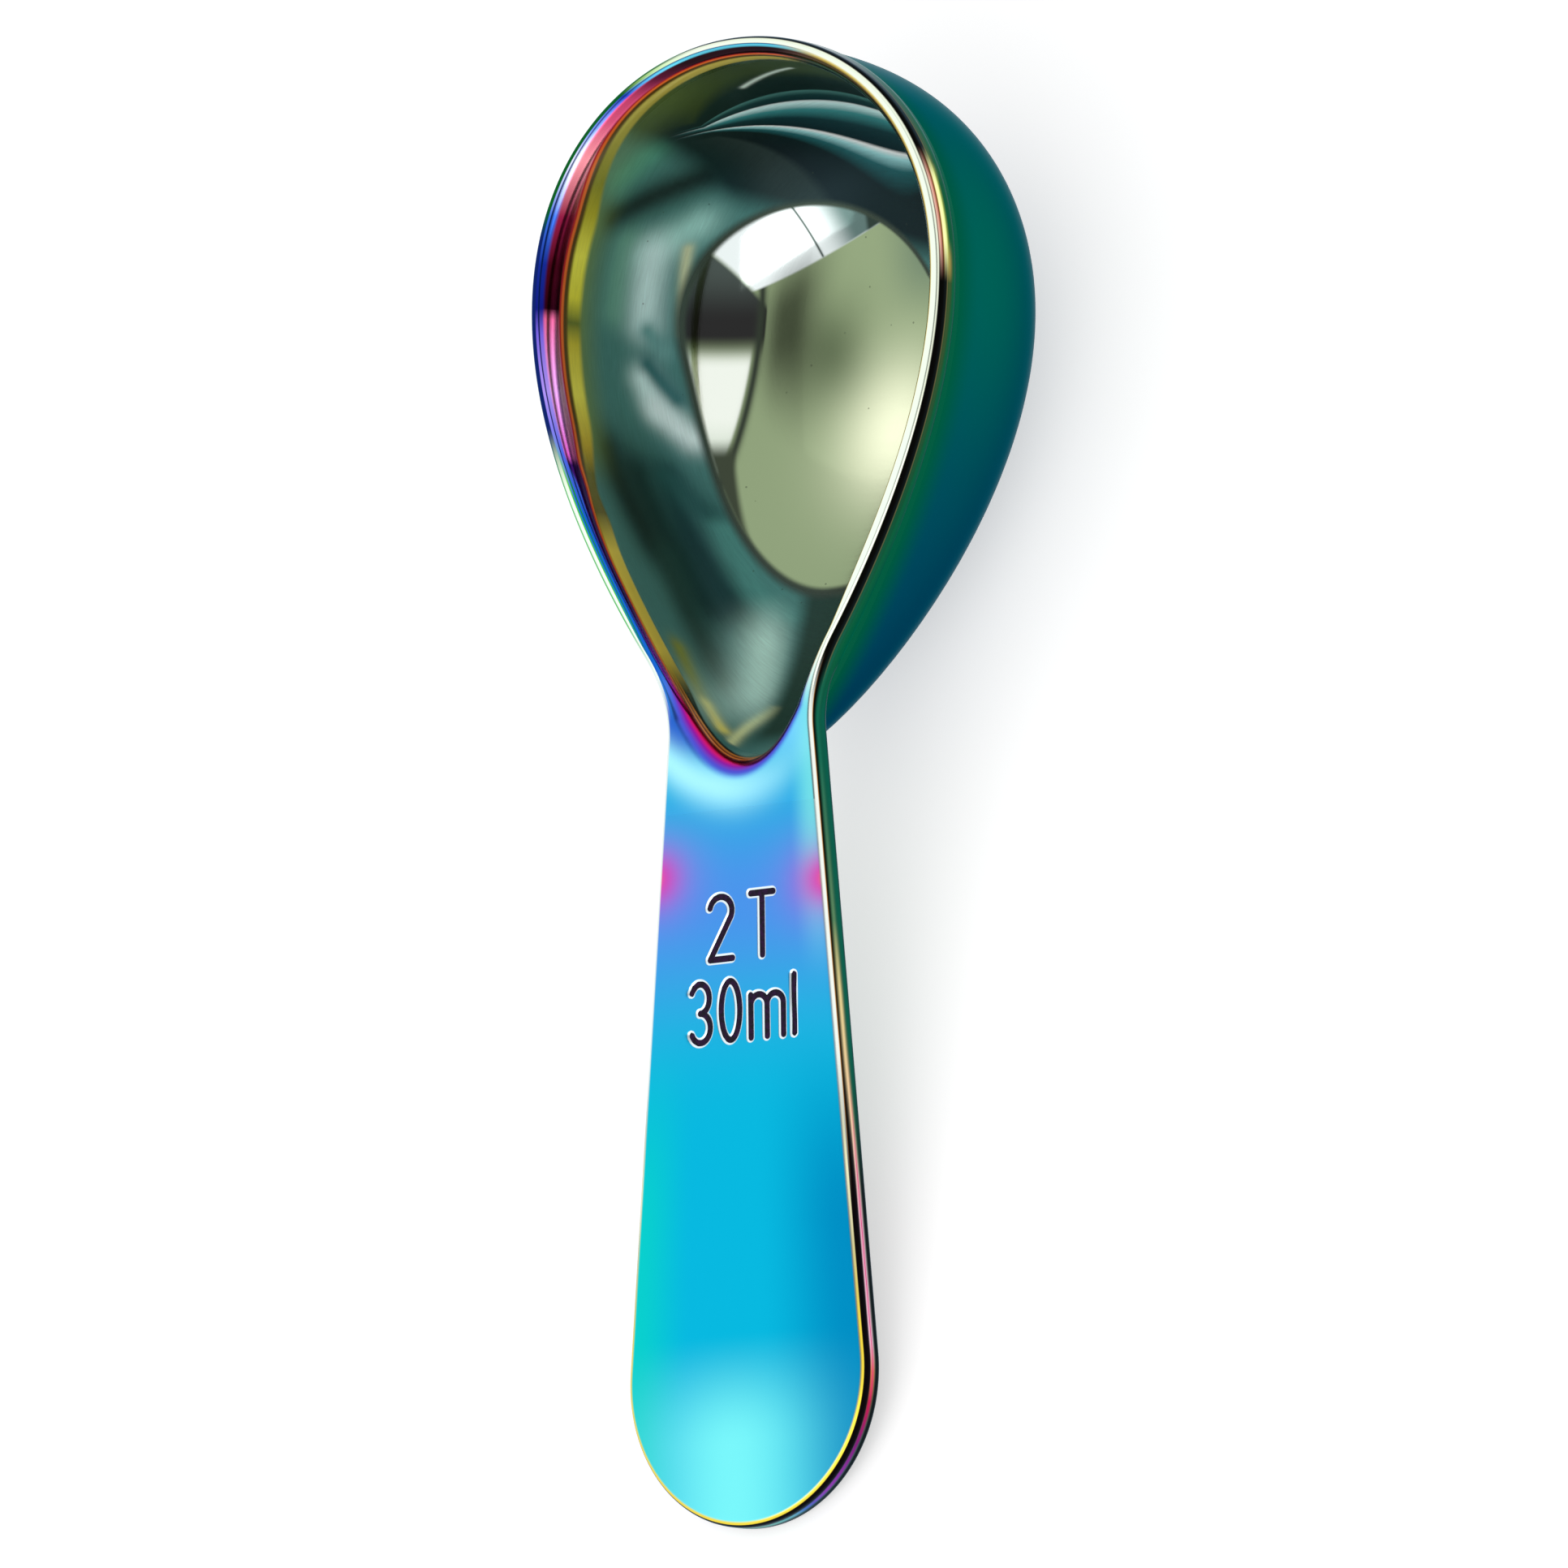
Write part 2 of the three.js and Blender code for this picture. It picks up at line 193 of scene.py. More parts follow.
class Shade:
    """A socket in a material's node tree. Arithmetic on it adds Math nodes, and add makes any other node."""

    def __init__(self, tree, socket=None):
        self.tree = tree
        self.socket = socket

    def add(self, kind, settings, sockets, output=0):
        node = self.tree.nodes.new(kind)
        for name, value in settings.items():
            setattr(node, name, value)
        for name, value in sockets.items():
            if isinstance(value, Shade):
                self.tree.links.new(value.socket, node.inputs[name])
            else:
                node.inputs[name].default_value = value
        return Shade(self.tree, node.outputs[output]) if node.outputs else None

    def math(self, operation, *values):
        return self.add("ShaderNodeMath", {"operation": operation}, dict(enumerate(values)))

    def __add__(self, other):
        return self.math("ADD", self, other)

    __radd__ = __add__

    def __sub__(self, other):
        return self.math("SUBTRACT", self, other)

    def __rsub__(self, other):
        return self.math("SUBTRACT", other, self)

    def __mul__(self, other):
        return self.math("MULTIPLY", self, other)

    __rmul__ = __mul__

    def __truediv__(self, other):
        return self.math("DIVIDE", self, other)

    def rise(self, low, high):
        """0 below low, 1 above high, smooth in between. A low above the high makes it fall."""
        settings = {"interpolation_type": "SMOOTHSTEP"}
        return self.add("ShaderNodeMapRange", settings, {"Value": self, "From Min": low, "From Max": high})

    def bell(self, centre, width):
        """A bell curve: 1 at the centre, falling to a third at the width."""
        offset = (self - centre) / width
        return self.math("EXPONENT", offset * offset * -1.0)

    def over(self, colour, under):
        """Colour laid over another by this mask."""
        return self.add("ShaderNodeMix", {"data_type": "RGBA"}, {0: self, 6: under, 7: colour}, output=2)

    def shading(self, colour):
        """Colour made darker or lighter by this value."""
        settings = {"data_type": "RGBA", "blend_type": "MULTIPLY"}
        return self.add("ShaderNodeMix", settings, {0: 1.0, 6: colour, 7: self}, output=2)


def colour_of(red, green, blue):
    """A colour as seen on a screen, 0 to 255, in the linear light that a shader takes."""
    channels = np.array((red, green, blue)) / 255
    linear = np.where(channels <= 0.04045, channels / 12.92, ((channels + 0.055) / 1.055) ** 2.4)
    return (*linear.tolist(), 1.0)


def level_coordinates(tree):
    """Object coordinates turned back into the level sheet, in mm, as x, y and z."""
    start = Shade(tree)
    place = start.add("ShaderNodeTexCoord", {}, {}, output=3)
    turn = Matrix(level_axes.tolist()).to_euler()
    shift = (-level_axes @ level_origin / mm).tolist()
    scale = (1 / mm, 1 / mm, 1 / mm)
    sockets = {"Vector": place, "Location": shift, "Rotation": turn, "Scale": scale}
    level = start.add("ShaderNodeMapping", {}, sockets)
    axes = [start.add("ShaderNodeSeparateXYZ", {}, {"Vector": level}, output=axis) for axis in range(3)]
    return level, *axes


def field(tree, name):
    """A number field of the mesh."""
    return Shade(tree).add("ShaderNodeAttribute", {"attribute_name": name}, {}, output=2)


brush_height = 0.02


def brushing(level, density, depth):
    """Fine polishing lines: noise with its own density along each axis, and a shallow bump made of it."""
    lines = level.add("ShaderNodeMapping", {}, {"Vector": level, "Scale": density})
    sockets = {"Vector": lines, "Scale": 1.0, "Detail": 3.0, "Roughness": 0.6}
    noise = level.add("ShaderNodeTexNoise", {}, sockets)
    sockets = {"Strength": depth, "Distance": brush_height * mm, "Height": noise}
    return noise, level.add("ShaderNodeBump", {}, sockets)


def material_of(name, look):
    """A material whose surface is given by a function of its node tree."""
    material = bpy.data.materials.new(name)
    material.use_nodes = True
    tree = material.node_tree
    tree.nodes.clear()
    surface = Shade(tree).add("ShaderNodeBsdfPrincipled", {}, look(tree))
    Shade(tree).add("ShaderNodeOutputMaterial", {}, {"Surface": surface})
    return material


def steel(colour, roughness, metal, normal, edge_tint):
    """Surface of polished steel under the coat, with the tint it takes at a glancing view."""
    return {
        "Base Color": colour,
        "Roughness": roughness,
        "Metallic": metal,
        "Normal": normal,
        "Specular Tint": edge_tint,
    }


def ramp_of(value, stops):
    """A colour ramp whose stops are written in the value's own units."""
    low = stops[0][0]
    span = stops[-1][0] - low
    ramp = value.add("ShaderNodeValToRGB", {}, {"Fac": (value - low) / span})
    elements = ramp.socket.node.color_ramp.elements
    elements.remove(elements[1])
    elements[0].color = colour_of(*stops[0][1])
    for place, colour in stops[1:]:
        elements.new((place - low) / span).color = colour_of(*colour)
    return ramp


def outer_band(y):
    """Outer band of the coat on the rounding, from the tip to the nose."""
    stops = [
        (-37, (100, 195, 248)),
        (-31, (25, 105, 215)),
        (-17, (25, 95, 210)),
        (-11.5, (80, 105, 230)),
        (-6, (172, 145, 240)),
        (-1, (120, 100, 220)),
        (1.2, (18, 26, 125)),
        (5, (20, 42, 145)),
        (9, (60, 110, 220)),
        (13.5, (224, 230, 255)),
        (16, (120, 150, 240)),
        (18.5, (30, 60, 170)),
        (20.5, (90, 190, 215)),
    ]
    return ramp_of(y, stops)


def inner_band(y):
    """Inner band: violet on the flanks, pink where the rim is straightest, maroon between the two pinks."""
    stops = [
        (-37, (205, 25, 110)),
        (-34, (120, 30, 145)),
        (-25, (52, 12, 84)),
        (-12.4, (58, 16, 98)),
        (-11.5, (228, 95, 195)),
        (-6, (242, 165, 240)),
        (0.3, (238, 105, 155)),
        (1.2, (42, 3, 18)),
        (5, (72, 8, 26)),
        (9, (150, 30, 70)),
        (13.5, (255, 155, 168)),
        (16.5, (215, 85, 125)),
        (18.2, (190, 64, 105)),
        (19.6, (90, 26, 52)),
        (20.6, (40, 20, 26)),
    ]
    return ramp_of(y, stops)


def gold_band(y):
    """Gold band at the foot of the rounding, bright along the side and again along the flank."""
    stops = [
        (-37, (60, 45, 16)),
        (-33, (120, 105, 25)),
        (-29, (248, 218, 84)),
        (-20, (248, 218, 84)),
        (-16.5, (110, 95, 25)),
        (-13, (115, 105, 22)),
        (-10.5, (205, 175, 48)),
        (-6, (250, 240, 95)),
        (-1.5, (215, 200, 62)),
        (0.3, (110, 122, 48)),
        (2.5, (240, 232, 70)),
        (6, (252, 246, 90)),
        (9.5, (190, 180, 44)),
        (12, (150, 148, 44)),
        (20.6, (215, 195, 90)),
    ]
    return ramp_of(y, stops)


def tip_bands(fold):
    """Bands across the wide rounding at the tip, from the handle's cyan to two thin orange lines."""
    stops = [
        (0, (60, 150, 236)),
        (0.14, (70, 110, 226)),
        (0.3, (85, 80, 210)),
        (0.44, (140, 30, 165)),
        (0.55, (205, 25, 110)),
        (0.63, (150, 10, 40)),
        (0.7, (70, 8, 14)),
        (0.76, (235, 130, 50)),
        (0.8, (90, 20, 10)),
        (0.88, (225, 140, 60)),
        (0.93, (40, 30, 16)),
        (1.1, (40, 52, 40)),
    ]
    return ramp_of(fold, stops)


def far_bands(fold):
    """Bands on the right of the mouth: a gold line and a brown one before the straw colour of the floor."""
    stops = [
        (0, (240, 245, 215)),
        (0.1, (205, 180, 90)),
        (0.22, (70, 52, 26)),
        (0.5, (120, 122, 88)),
        (1.1, (140, 150, 112)),
    ]
    return ramp_of(fold, stops)


def band_colour(x, y, fold, place):
    """Coat over the rounding into the bowl: dark line, outer band, inner band, orange line, gold band."""
    flank = y.rise(-11.5, -15)
    thin = (flank * x.rise(0, -4)).over(colour_of(26, 150, 44), colour_of(14, 44, 120))
    thin = y.rise(-27, -31).over(outer_band(y), thin)
    colour = (place - flank * 0.05).rise(0.03, 0.08).over(outer_band(y), thin)
    colour = (place - flank * 0.17).rise(0.13, 0.21).over(inner_band(y), colour)
    line = place - flank * 0.1
    colour = line.rise(0.46, 0.49).over(colour_of(190, 28, 40), colour)
    colour = line.rise(0.5, 0.53).over(colour_of(238, 110, 42), colour)
    colour = line.rise(0.56, 0.6).over(colour_of(88, 62, 16), colour)
    colour = place.rise(0.64, 0.74).over(gold_band(y), colour)
    colour = y.rise(-30, -34.5).over(tip_bands(fold), colour)
    return (x.rise(4, 10) * y.rise(-36, -33)).over(far_bands(fold), colour)


def stroke(u, v, start, end, width):
    """A soft brush stroke: 1 on the line from start to end, falling to a third at the width beside it."""
    step_u = end[0] - start[0]
    step_v = end[1] - start[1]
    length = math.hypot(step_u, step_v)
    from_u = u - start[0]
    from_v = v - start[1]
    along = (from_u * (step_u / length) + from_v * (step_v / length)) / length
    share = along.math("MINIMUM", along.math("MAXIMUM", along, 0.0), 1.0)
    beside_u = from_u - share * step_u
    beside_v = from_v - share * step_v
    square = (beside_u * beside_u + beside_v * beside_v) / width**2
    return square.math("EXPONENT", square * -1.0)


def nose_reflections(x, z):
    """Painted reflections on the wall at the nose: light and dark streaks with a sharp upper edge, which run
    together on both sides.

    Height is measured from an arch through the lowest streak, and grows faster away from the middle."""
    aside = x + 1.2
    spread = 1 - 0.0086 * aside * aside
    arch = -18.65 - 0.293 * x + 0.0418 * x * x
    height = (z - arch) / spread.math("MAXIMUM", spread, 0.2)
    stops = [
        (-6.5, (44, 56, 54)),
        (-4.8, (12, 20, 24)),
        (-1.9, (8, 24, 26)),
        (-1, (34, 100, 104)),
        (-0.4, (165, 225, 228)),
        (-0.05, (252, 255, 255)),
        (0.12, (6, 32, 38)),
        (1.4, (10, 52, 58)),
        (2.7, (64, 150, 152)),
        (3.6, (215, 252, 252)),
        (3.95, (235, 255, 255)),
        (4.15, (6, 40, 46)),
        (5, (16, 60, 60)),
        (5.8, (80, 136, 130)),
        (6, (8, 30, 28)),
        (9, (10, 36, 30)),
        (12, (60, 76, 30)),
    ]
    colour = x.rise(-13, -9).over(ramp_of(height, stops), colour_of(16, 38, 38))
    # A pale painted reflected line across the streaks
    return stroke(x, z, (-5.2, -8.2), (1.0, -6.8), 0.3).over(colour_of(235, 252, 238), colour)


# Painted reflections on the left wall, as soft brush strokes: colour, start and end as y and z, width
wall_reflections = (
    ((110, 168, 148), (7.5, -8.8), (2.0, -8.8), 1.6),  # teal above the arc
    ((170, 224, 214), (9.5, -14.8), (6.8, -11.4), 1.5),  # light arc, nose end
    ((220, 252, 250), (6.8, -11.8), (1.2, -12.0), 1.7),  # light arc
    ((112, 164, 160), (0.4, -12.4), (-1.2, -13.8), 1.0),  # light arc, handle end
    ((210, 218, 176), (7.5, -14.7), (0.5, -15.7), 0.5),  # straw line by the floor
    ((26, 44, 42), (9.6, -6.2), (13.4, -13.4), 1.5),  # dark diagonal
    ((92, 168, 142), (12.6, -5.2), (15.4, -7.2), 1.7),  # teal by the nose
    ((22, 54, 52), (-12.4, -9.4), (-24.0, -10.8), 2.8),  # dark flank
    ((24, 60, 60), (-12.6, -12.4), (-24.0, -12.8), 1.6),  # dark flank by the floor
    ((225, 255, 252), (-3.8, -11.9), (-6.2, -13.0), 1.4),  # second light, nose end
    ((235, 255, 253), (-6.2, -13.0), (-8.7, -15.4), 1.3),  # second light, handle end
    ((62, 114, 114), (-2.4, -12.4), (-5.2, -14.8), 0.9),  # teal notch beside it
    ((12, 36, 34), (-10.6, -6.2), (-18.5, -8.2), 2.4),  # dark below the gold
    ((40, 88, 84), (-12.4, -12.6), (-15.6, -14.6), 1.5),  # teal past the second light
    ((84, 150, 142), (-17.0, -15.2), (-25.0, -14.6), 1.0),  # teal by the floor
    ((26, 60, 54), (-20.0, -9.4), (-31.5, -7.6), 1.9),  # dark flank by the tip
    ((140, 146, 44), (-28.5, -4.8), (-33.4, -3.8), 1.0),  # olive by the tip
    ((255, 240, 110), (-33.8, -4.0), (-36.0, -3.6), 0.7),  # yellow glint
    ((230, 240, 176), (-37.4, -3.2), (-34.0, -9.2), 0.32),  # pale line at the tip
)


def wall_colour(x, y, z):
    """Coat on the wall: teal, with painted reflections as soft lighter and darker strokes and streaks at the
    nose, and pale on the right, which brightens what the left wall reflects.
    """
    colour = colour_of(78, 132, 126)
    for paint, start, end, width in wall_reflections:
        mask = stroke(y, z, start, end, width) * x.rise(0, -3)
        colour = mask.over(colour_of(*paint), colour)
    # Painted reflections: a light band low on the left wall towards the tip, and a darker one along the keel
    light = (x + 16.9 + 0.349 * y).bell(0, 1.7) * y.rise(-22.5, -28) * y.rise(-37, -32)
    colour = light.over(colour_of(205, 248, 234), colour)
    keel = (x + 11.2 + 0.2 * y).rise(0, 2) * y.rise(-20, -23.5) * y.rise(-38.5, -36)
    colour = keel.over(colour_of(36, 64, 52), colour)
    nose = x.rise(-14.8, -12.4) * (y + 0.35 * (x + 11)).rise(9.5, 12.5)
    colour = nose.over(nose_reflections(x, z), colour)
    return x.rise(5, 10).over(colour_of(238, 247, 250), colour)


# The polished floor, whose oval also bounds the painted reflection of the room through the mouth: its middle,
# how much it leans and how far it reaches each way
floor_x = -6.23
floor_y = -1.3
floor_lean = 0.121
floor_noseward = 12.2
floor_tipward = 21.5
floor_left = 11.7
floor_right = 22.7


def floor_reach(x, y):
    """1 on the edge of the polished floor and of its painted reflection, an oval that is longer towards the
    tip and wider on the right.
    """
    aside = x - floor_x + floor_lean * y
    ahead = y.math("MAXIMUM", y - floor_y, 0.0) / floor_noseward
    behind = y.math("MINIMUM", y - floor_y, 0.0) / floor_tipward
    half = floor_left + (floor_right - floor_left) * aside.rise(-1, 1) * y.rise(4, -5)
    beside = aside / half
    square = beside * beside + ahead * ahead + behind * behind
    return square.math("SQRT", square)


def floor_tint_and_reflections(x, y):
    """Coat on the floor, straw, under painted reflections: paler on the right, white in front and on the
    left, dark lines between.
    """
    # Painted reflections over the straw: a paler patch on the right, a dim one, and a darker one towards the
    # nose
    pale = x.bell(1, 5.8) * y.bell(-9.5, 6.2)
    colour = pale.over(colour_of(248, 253, 218), colour_of(144, 162, 124))
    dim_reflection = x.bell(-6.5, 3.6) * y.bell(-1.6, 4.4)
    colour = (dim_reflection * 0.7).over(colour_of(64, 78, 54), colour)
    far = x.rise(-2, 4) * y.rise(-1, 6)
    colour = (far * 0.6).over(colour_of(88, 112, 100), colour)
    # The painted white reflection on the left, with a dark corner and a dark line beside it
    beside = x + 12.75 - 0.12 * y
    left = beside.rise(-0.7, -1) * y.rise(-0.2, -2.6)
    sheen = y.rise(-12, -6.5).over(colour_of(240, 246, 236), colour_of(190, 208, 186))
    colour = left.over(sheen, colour)
    ahead = y - 4.8 + 1.44 * (x + 13.9)
    corner = beside.rise(0.1, -0.1) * ahead.rise(0.5, -0.5) * y.rise(-2, 0.4)
    shade = y.rise(6.5, 1.5).over(colour_of(44, 44, 44), colour_of(74, 84, 80))
    colour = corner.over(shade, colour)
    line = beside.bell(-0.4, 0.36) * y.rise(5.5, 4.5)
    colour = line.over(colour_of(54, 62, 52), colour)
    # The painted white reflection in front, split by a darker part and dark lines
    front = (y - 9.3 - 0.39 * x).rise(-0.15, 0.15) * ahead.rise(-0.4, 0.6)
    colour = front.over(colour_of(236, 245, 244), colour)
    split = x + 4.0 + 0.46 * y
    colour = (front * split.rise(0, 4.5)).over(colour_of(92, 116, 112), colour)
    colour = (front * x.rise(-2.6, -2)).over(colour_of(48, 62, 56), colour)
    return (front * split.bell(0, 0.14)).over(colour_of(70, 84, 78), colour)


def band_place(y, fold):
    """Place among the bands: the fold, taken slower along the side, where the bands are wider."""
    return fold * (1 - 0.5 * y.rise(-22, -8) * y.rise(21, 8))


def inside_colour(x, y, z, fold):
    """Coat inside the bowl: bands at the rim, olive below them on the left, teal walls, straw floor, with
    painted reflections on walls and floor.

    The second value is where the steel is polished: on the floor and the right-hand wall."""
    place = band_place(y, fold)
    colour = wall_colour(x, y, z)
    olive = z.rise(-8, -3) * x.rise(-2, -12) * y.rise(-15, -8) * (1 - 0.6 * y.rise(8, 12))
    colour = olive.over(colour_of(122, 146, 72), colour)
    reach = floor_reach(x, y)
    deep = z.rise(-10, -13)
    # Painted dark reflection around the floor's oval, and a dark wedge within it
    colour = (reach.rise(1.06, 1.015) * deep).over(colour_of(62, 72, 60), colour)
    colour = (reach.rise(1.012, 0.985) * deep).over(floor_tint_and_reflections(x, y), colour)
    dark_wedge_reflection = (reach + 0.0145 * (y + 10)).rise(0.87, 0.91) * reach.rise(1.02, 0.99)
    dark_wedge_reflection = dark_wedge_reflection * x.rise(-7, -9) * y.rise(-8.5, -10.5)
    colour = (dark_wedge_reflection * deep).over(colour_of(62, 70, 56), colour)
    flank = y.rise(-14, -18) * y.rise(-36, -32)
    band = (place - 0.3 * flank).rise(1.1, 0.95)
    colour = band.over(band_colour(x, y, fold, place), colour)
    return colour, reach.math("MAXIMUM", reach.rise(1.04, 0.98) * deep, x.rise(4, 8))


def outside_colour(x, y, z):
    """Coat outside the bowl: green on the middle of its side and under the rim, blue at nose and tip."""
    green = y.bell(3, 19) * z.bell(-8, 10)
    colour = green.over(colour_of(0, 97, 84), colour_of(2, 66, 92))
    return z.rise(-6, -2.5).over(colour_of(0, 88, 60), colour)


bowl_edge_tint = (0.25, 0.5, 0.58, 1.0)


def bowl_look(tree):
    level, x, y, z = level_coordinates(tree)
    fold = field(tree, "fold")
    inside = fold.rise(0, 0.1)
    paint, polish = inside_colour(x, y, z, fold)
    noise, bump = brushing(level, density=(0.5, 0.5, 9.0), depth=0.1)
    speck = level.add("ShaderNodeTexVoronoi", {}, {"Vector": level, "Scale": 0.4})
    grain = 1 + 0.4 * (noise - 0.5) * (1 - polish)
    paint = (speck.rise(0.045, 0.03) * 0.5).over(colour_of(48, 56, 44), grain.shading(paint))
    colour = inside.over(paint, outside_colour(x, y, z))
    roughness = 0.3 - 0.24 * inside * polish + 0.06 * noise
    metal = 1 - 0.9 * inside * (1 - polish)
    return steel(colour, roughness, metal, bump, bowl_edge_tint)


bowl.data.materials.append(material_of("bowl_steel", bowl_look))
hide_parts("bowl")
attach(bowl, "root")

# Rim
# The sheet around the mouth, 2.3 mm thick, with a round outer edge, a wide rounding into the bowl and a flat
# shelf at the neck. Its bands of colour are the coat's, which grows unevenly where the sheet is bent, with
# painted reflections over the round edge: a pale highlight on the crest, a black line, light streaks and
# glints.

sheet_thickness = 2.3
edge_radius = 0.6
rim_reach = 1.8
rim_tip = 39.1
rim_taper = 0.394
rim_belly = -0.082
handle_length = 65.3
end_radius = 12.8
neck_width = 16.24
neck_lead = 3.7
neck_trail = 4.1
neck_shelf = 4.2
entry_width = 1.2
entry_tip_width = 2.0
entry_tip_start = -24.0
entry_tip_run = 12.0
entry_most = 0.92  # share of the flat that the rounding may take
lip_inset = 0.5
under_lip_inset = 0.25
under_clearance = 0.04
egg_steps = 150
neck_steps = 40
side_steps = 20
cut_steps = 30
entry_steps = 33
flat_steps = 8
edge_steps = 13
wall_steps = 6

end_station = mouth_tip + handle_length - end_radius
neck_cut = -(mouth_tip + neck_shelf)
rim_egg = (mouth_half + rim_reach, mouth_nose + rim_reach, rim_tip, rim_taper, rim_belly)
neck_span = math.hypot(neck_width / 2, end_station - mouth_tip)
side_turn = math.atan2(end_station - mouth_tip, neck_width / 2) - math.acos(end_radius / neck_span)
side_normal = np.array((math.cos(side_turn), math.sin(side_turn)))


def side_reach(y, inset=0.0):
    """Half width between the straight sides at a station: they touch the circle of the end."""
    return (end_radius - inset - (y + end_station) * side_normal[1]) / side_normal[0]


def outward_of(points):
    """Outward normals along an outline that runs from the nose over the right side to the tip."""
    along = np.gradient(points, axis=0)
    along /= np.linalg.norm(along, axis=1, keepdims=True)
    return np.stack((-along[:, 1], along[:, 0]), axis=1)


# The corner of rim and straight side, and the curve that rounds it
fine_angles = np.linspace(np.pi / 2, np.pi, 20001)
fine_x, fine_y = egg(fine_angles, *rim_egg)
corner_y = fine_y[np.argmin(np.abs(fine_x - side_reach(fine_y)))]
join_angle = math.acos((2 * (corner_y + neck_lead) - rim_egg[1] + rim_tip) / (rim_egg[1] + rim_tip))
side_start_y = corner_y - neck_trail

rim_egg_angles = np.linspace(0, join_angle, egg_steps, endpoint=False)
egg_side = np.stack(egg(rim_egg_angles, *rim_egg), axis=1)
join_angles = join_angle + 1e-4 * np.array((-1, 0, 1))
before_join, join, after_join = np.stack(egg(join_angles, *rim_egg), axis=1)
rim_along = after_join - before_join
side_start = np.array((side_reach(side_start_y), side_start_y))
side_along = np.array((side_normal[1], -side_normal[0]))
meeting = np.linalg.solve(np.stack((rim_along, -side_along), axis=1), side_start - join)
bend = join + meeting[0] * rim_along
share = np.linspace(0, 1, neck_steps, endpoint=False)[:, None]
neck_side = (1 - share) ** 2 * join + 2 * share * (1 - share) * bend + share**2 * side_start
side_stations = np.linspace(side_start_y, neck_cut, side_steps)
straight_side = np.stack((side_reach(side_stations), side_stations), axis=1)
cut_shares = np.linspace(1, 0, cut_steps + 1)[1:]

half_outline = np.concatenate((egg_side, neck_side, straight_side))
half_normals = outward_of(half_outline)
half_normals[0] = (0.0, 1.0)
half_normals[-side_steps:] = side_normal
later_angles = np.linspace(join_angle, np.pi, neck_steps + side_steps + cut_steps)
half_angles = np.concatenate((rim_egg_angles, later_angles))
neck_rise = np.linspace(0, 1, neck_steps)
neck_blend = np.concatenate((np.zeros(egg_steps), neck_rise, np.ones(side_steps + cut_steps)))
neck_blend = neck_blend**2 * (3 - 2 * neck_blend)


def mirrored(half):
    """A closed loop from its right half, whose first and last points lie on the middle line."""
    return np.concatenate((half, (half * (-1.0, 1.0, 1.0))[-2:0:-1]))


def rim_loop(inset, z):
    """The outline moved in by an inset, which may vary along it, and closed by the cut at the neck."""
    inset = np.broadcast_to(inset, half_angles.shape)
    along = half_outline - inset[: len(half_outline), None] * half_normals
    along[-1] = (side_reach(neck_cut, inset[len(half_outline) - 1]), neck_cut)
    cut_x = cut_shares * side_reach(neck_cut, inset[-cut_steps:])
    cut = np.stack((cut_x, np.full(cut_steps, neck_cut)), axis=1)
    half = np.concatenate((along, cut))
    return mirrored(np.column_stack((half, np.full(len(half), float(z)))))


def mouth_loops(depth, skin):
    """Slices of the bowl at the rim's own stations."""
    return [mirrored(one) for one in bowl_slices(half_angles, depth, skin)]


top_inset = lip_inset + (edge_radius - lip_inset) * neck_blend

# How far the sheet stands out beyond the bowl's outside, which limits the rounding of its lower edge
outside_slice = bowl_slices(np.linspace(0, np.pi, 2001), sheet_thickness, bowl_wall)[0][:, :2]
slice_offsets = half_outline[:, None] - outside_slice
nearest = np.argmin(np.linalg.norm(slice_offsets, axis=2), axis=1)
nearest_offsets = slice_offsets[np.arange(len(nearest)), nearest]
overhang = np.sum(nearest_offsets * outward_of(outside_slice)[nearest], axis=1)
overhang = np.concatenate((overhang, np.full(cut_steps, edge_radius + 1.0)))
free_inset = under_lip_inset + (edge_radius - under_lip_inset) * neck_blend
under_inset = np.minimum(overhang - under_clearance, free_inset)

rim_rows = []
rim_folds = []
rim_shelves = []


def rim_row(loops, folds, shelves):
    """Adds loops of points to the rim's section, each with its fold and how far out on the flat it lies."""
    rim_rows.extend(loops)
    rim_folds.extend(folds)
    rim_shelves.extend(np.broadcast_to(shelves, len(loops)))


skirt_depths = np.array((rim_floor, rim_floor - seam_step, 2.75, 2.5))
inner_skirt = np.append(skirt_depths, 2.25)
outer_skirt = np.append(sheet_thickness, skirt_depths[::-1])
rim_row(mouth_loops(inner_skirt, 0), inner_fold(inner_skirt), 0)

# The rounding into the bowl, which widens towards the tip, and the flat around it
top_loop = rim_loop(top_inset, 0.0)
mouth_edge = mouth_loops(0.0, 0)[0]
flat_span = top_loop - mouth_edge
flat_width = np.linalg.norm(flat_span, axis=1, keepdims=True)
toward_tip = np.clip((entry_tip_start - mouth_edge[:, 1:2]) / entry_tip_run, 0, 1)
entry_reach = entry_width + (entry_tip_width - entry_width) * toward_tip**2 * (3 - 2 * toward_tip)
entry_span = flat_span / flat_width * np.minimum(entry_reach, entry_most * flat_width)
entry_turn = np.linspace(np.pi / 2, 0, entry_steps)
entry_rows = mouth_loops(entry_depth * (1 - np.cos(entry_turn)), 0)
entry_rows = [loop + (1 - math.sin(turn)) * entry_span for loop, turn in zip(entry_rows, entry_turn)]
rim_row(entry_rows, entry_turn / (np.pi / 2), 0)
flat_shares = np.linspace(0, 1, flat_steps)[1:-1]
flat_rows = [entry_rows[-1] * (1 - s) + top_loop * s for s in flat_shares]
rim_row(flat_rows, -0.001 * flat_shares, flat_shares)

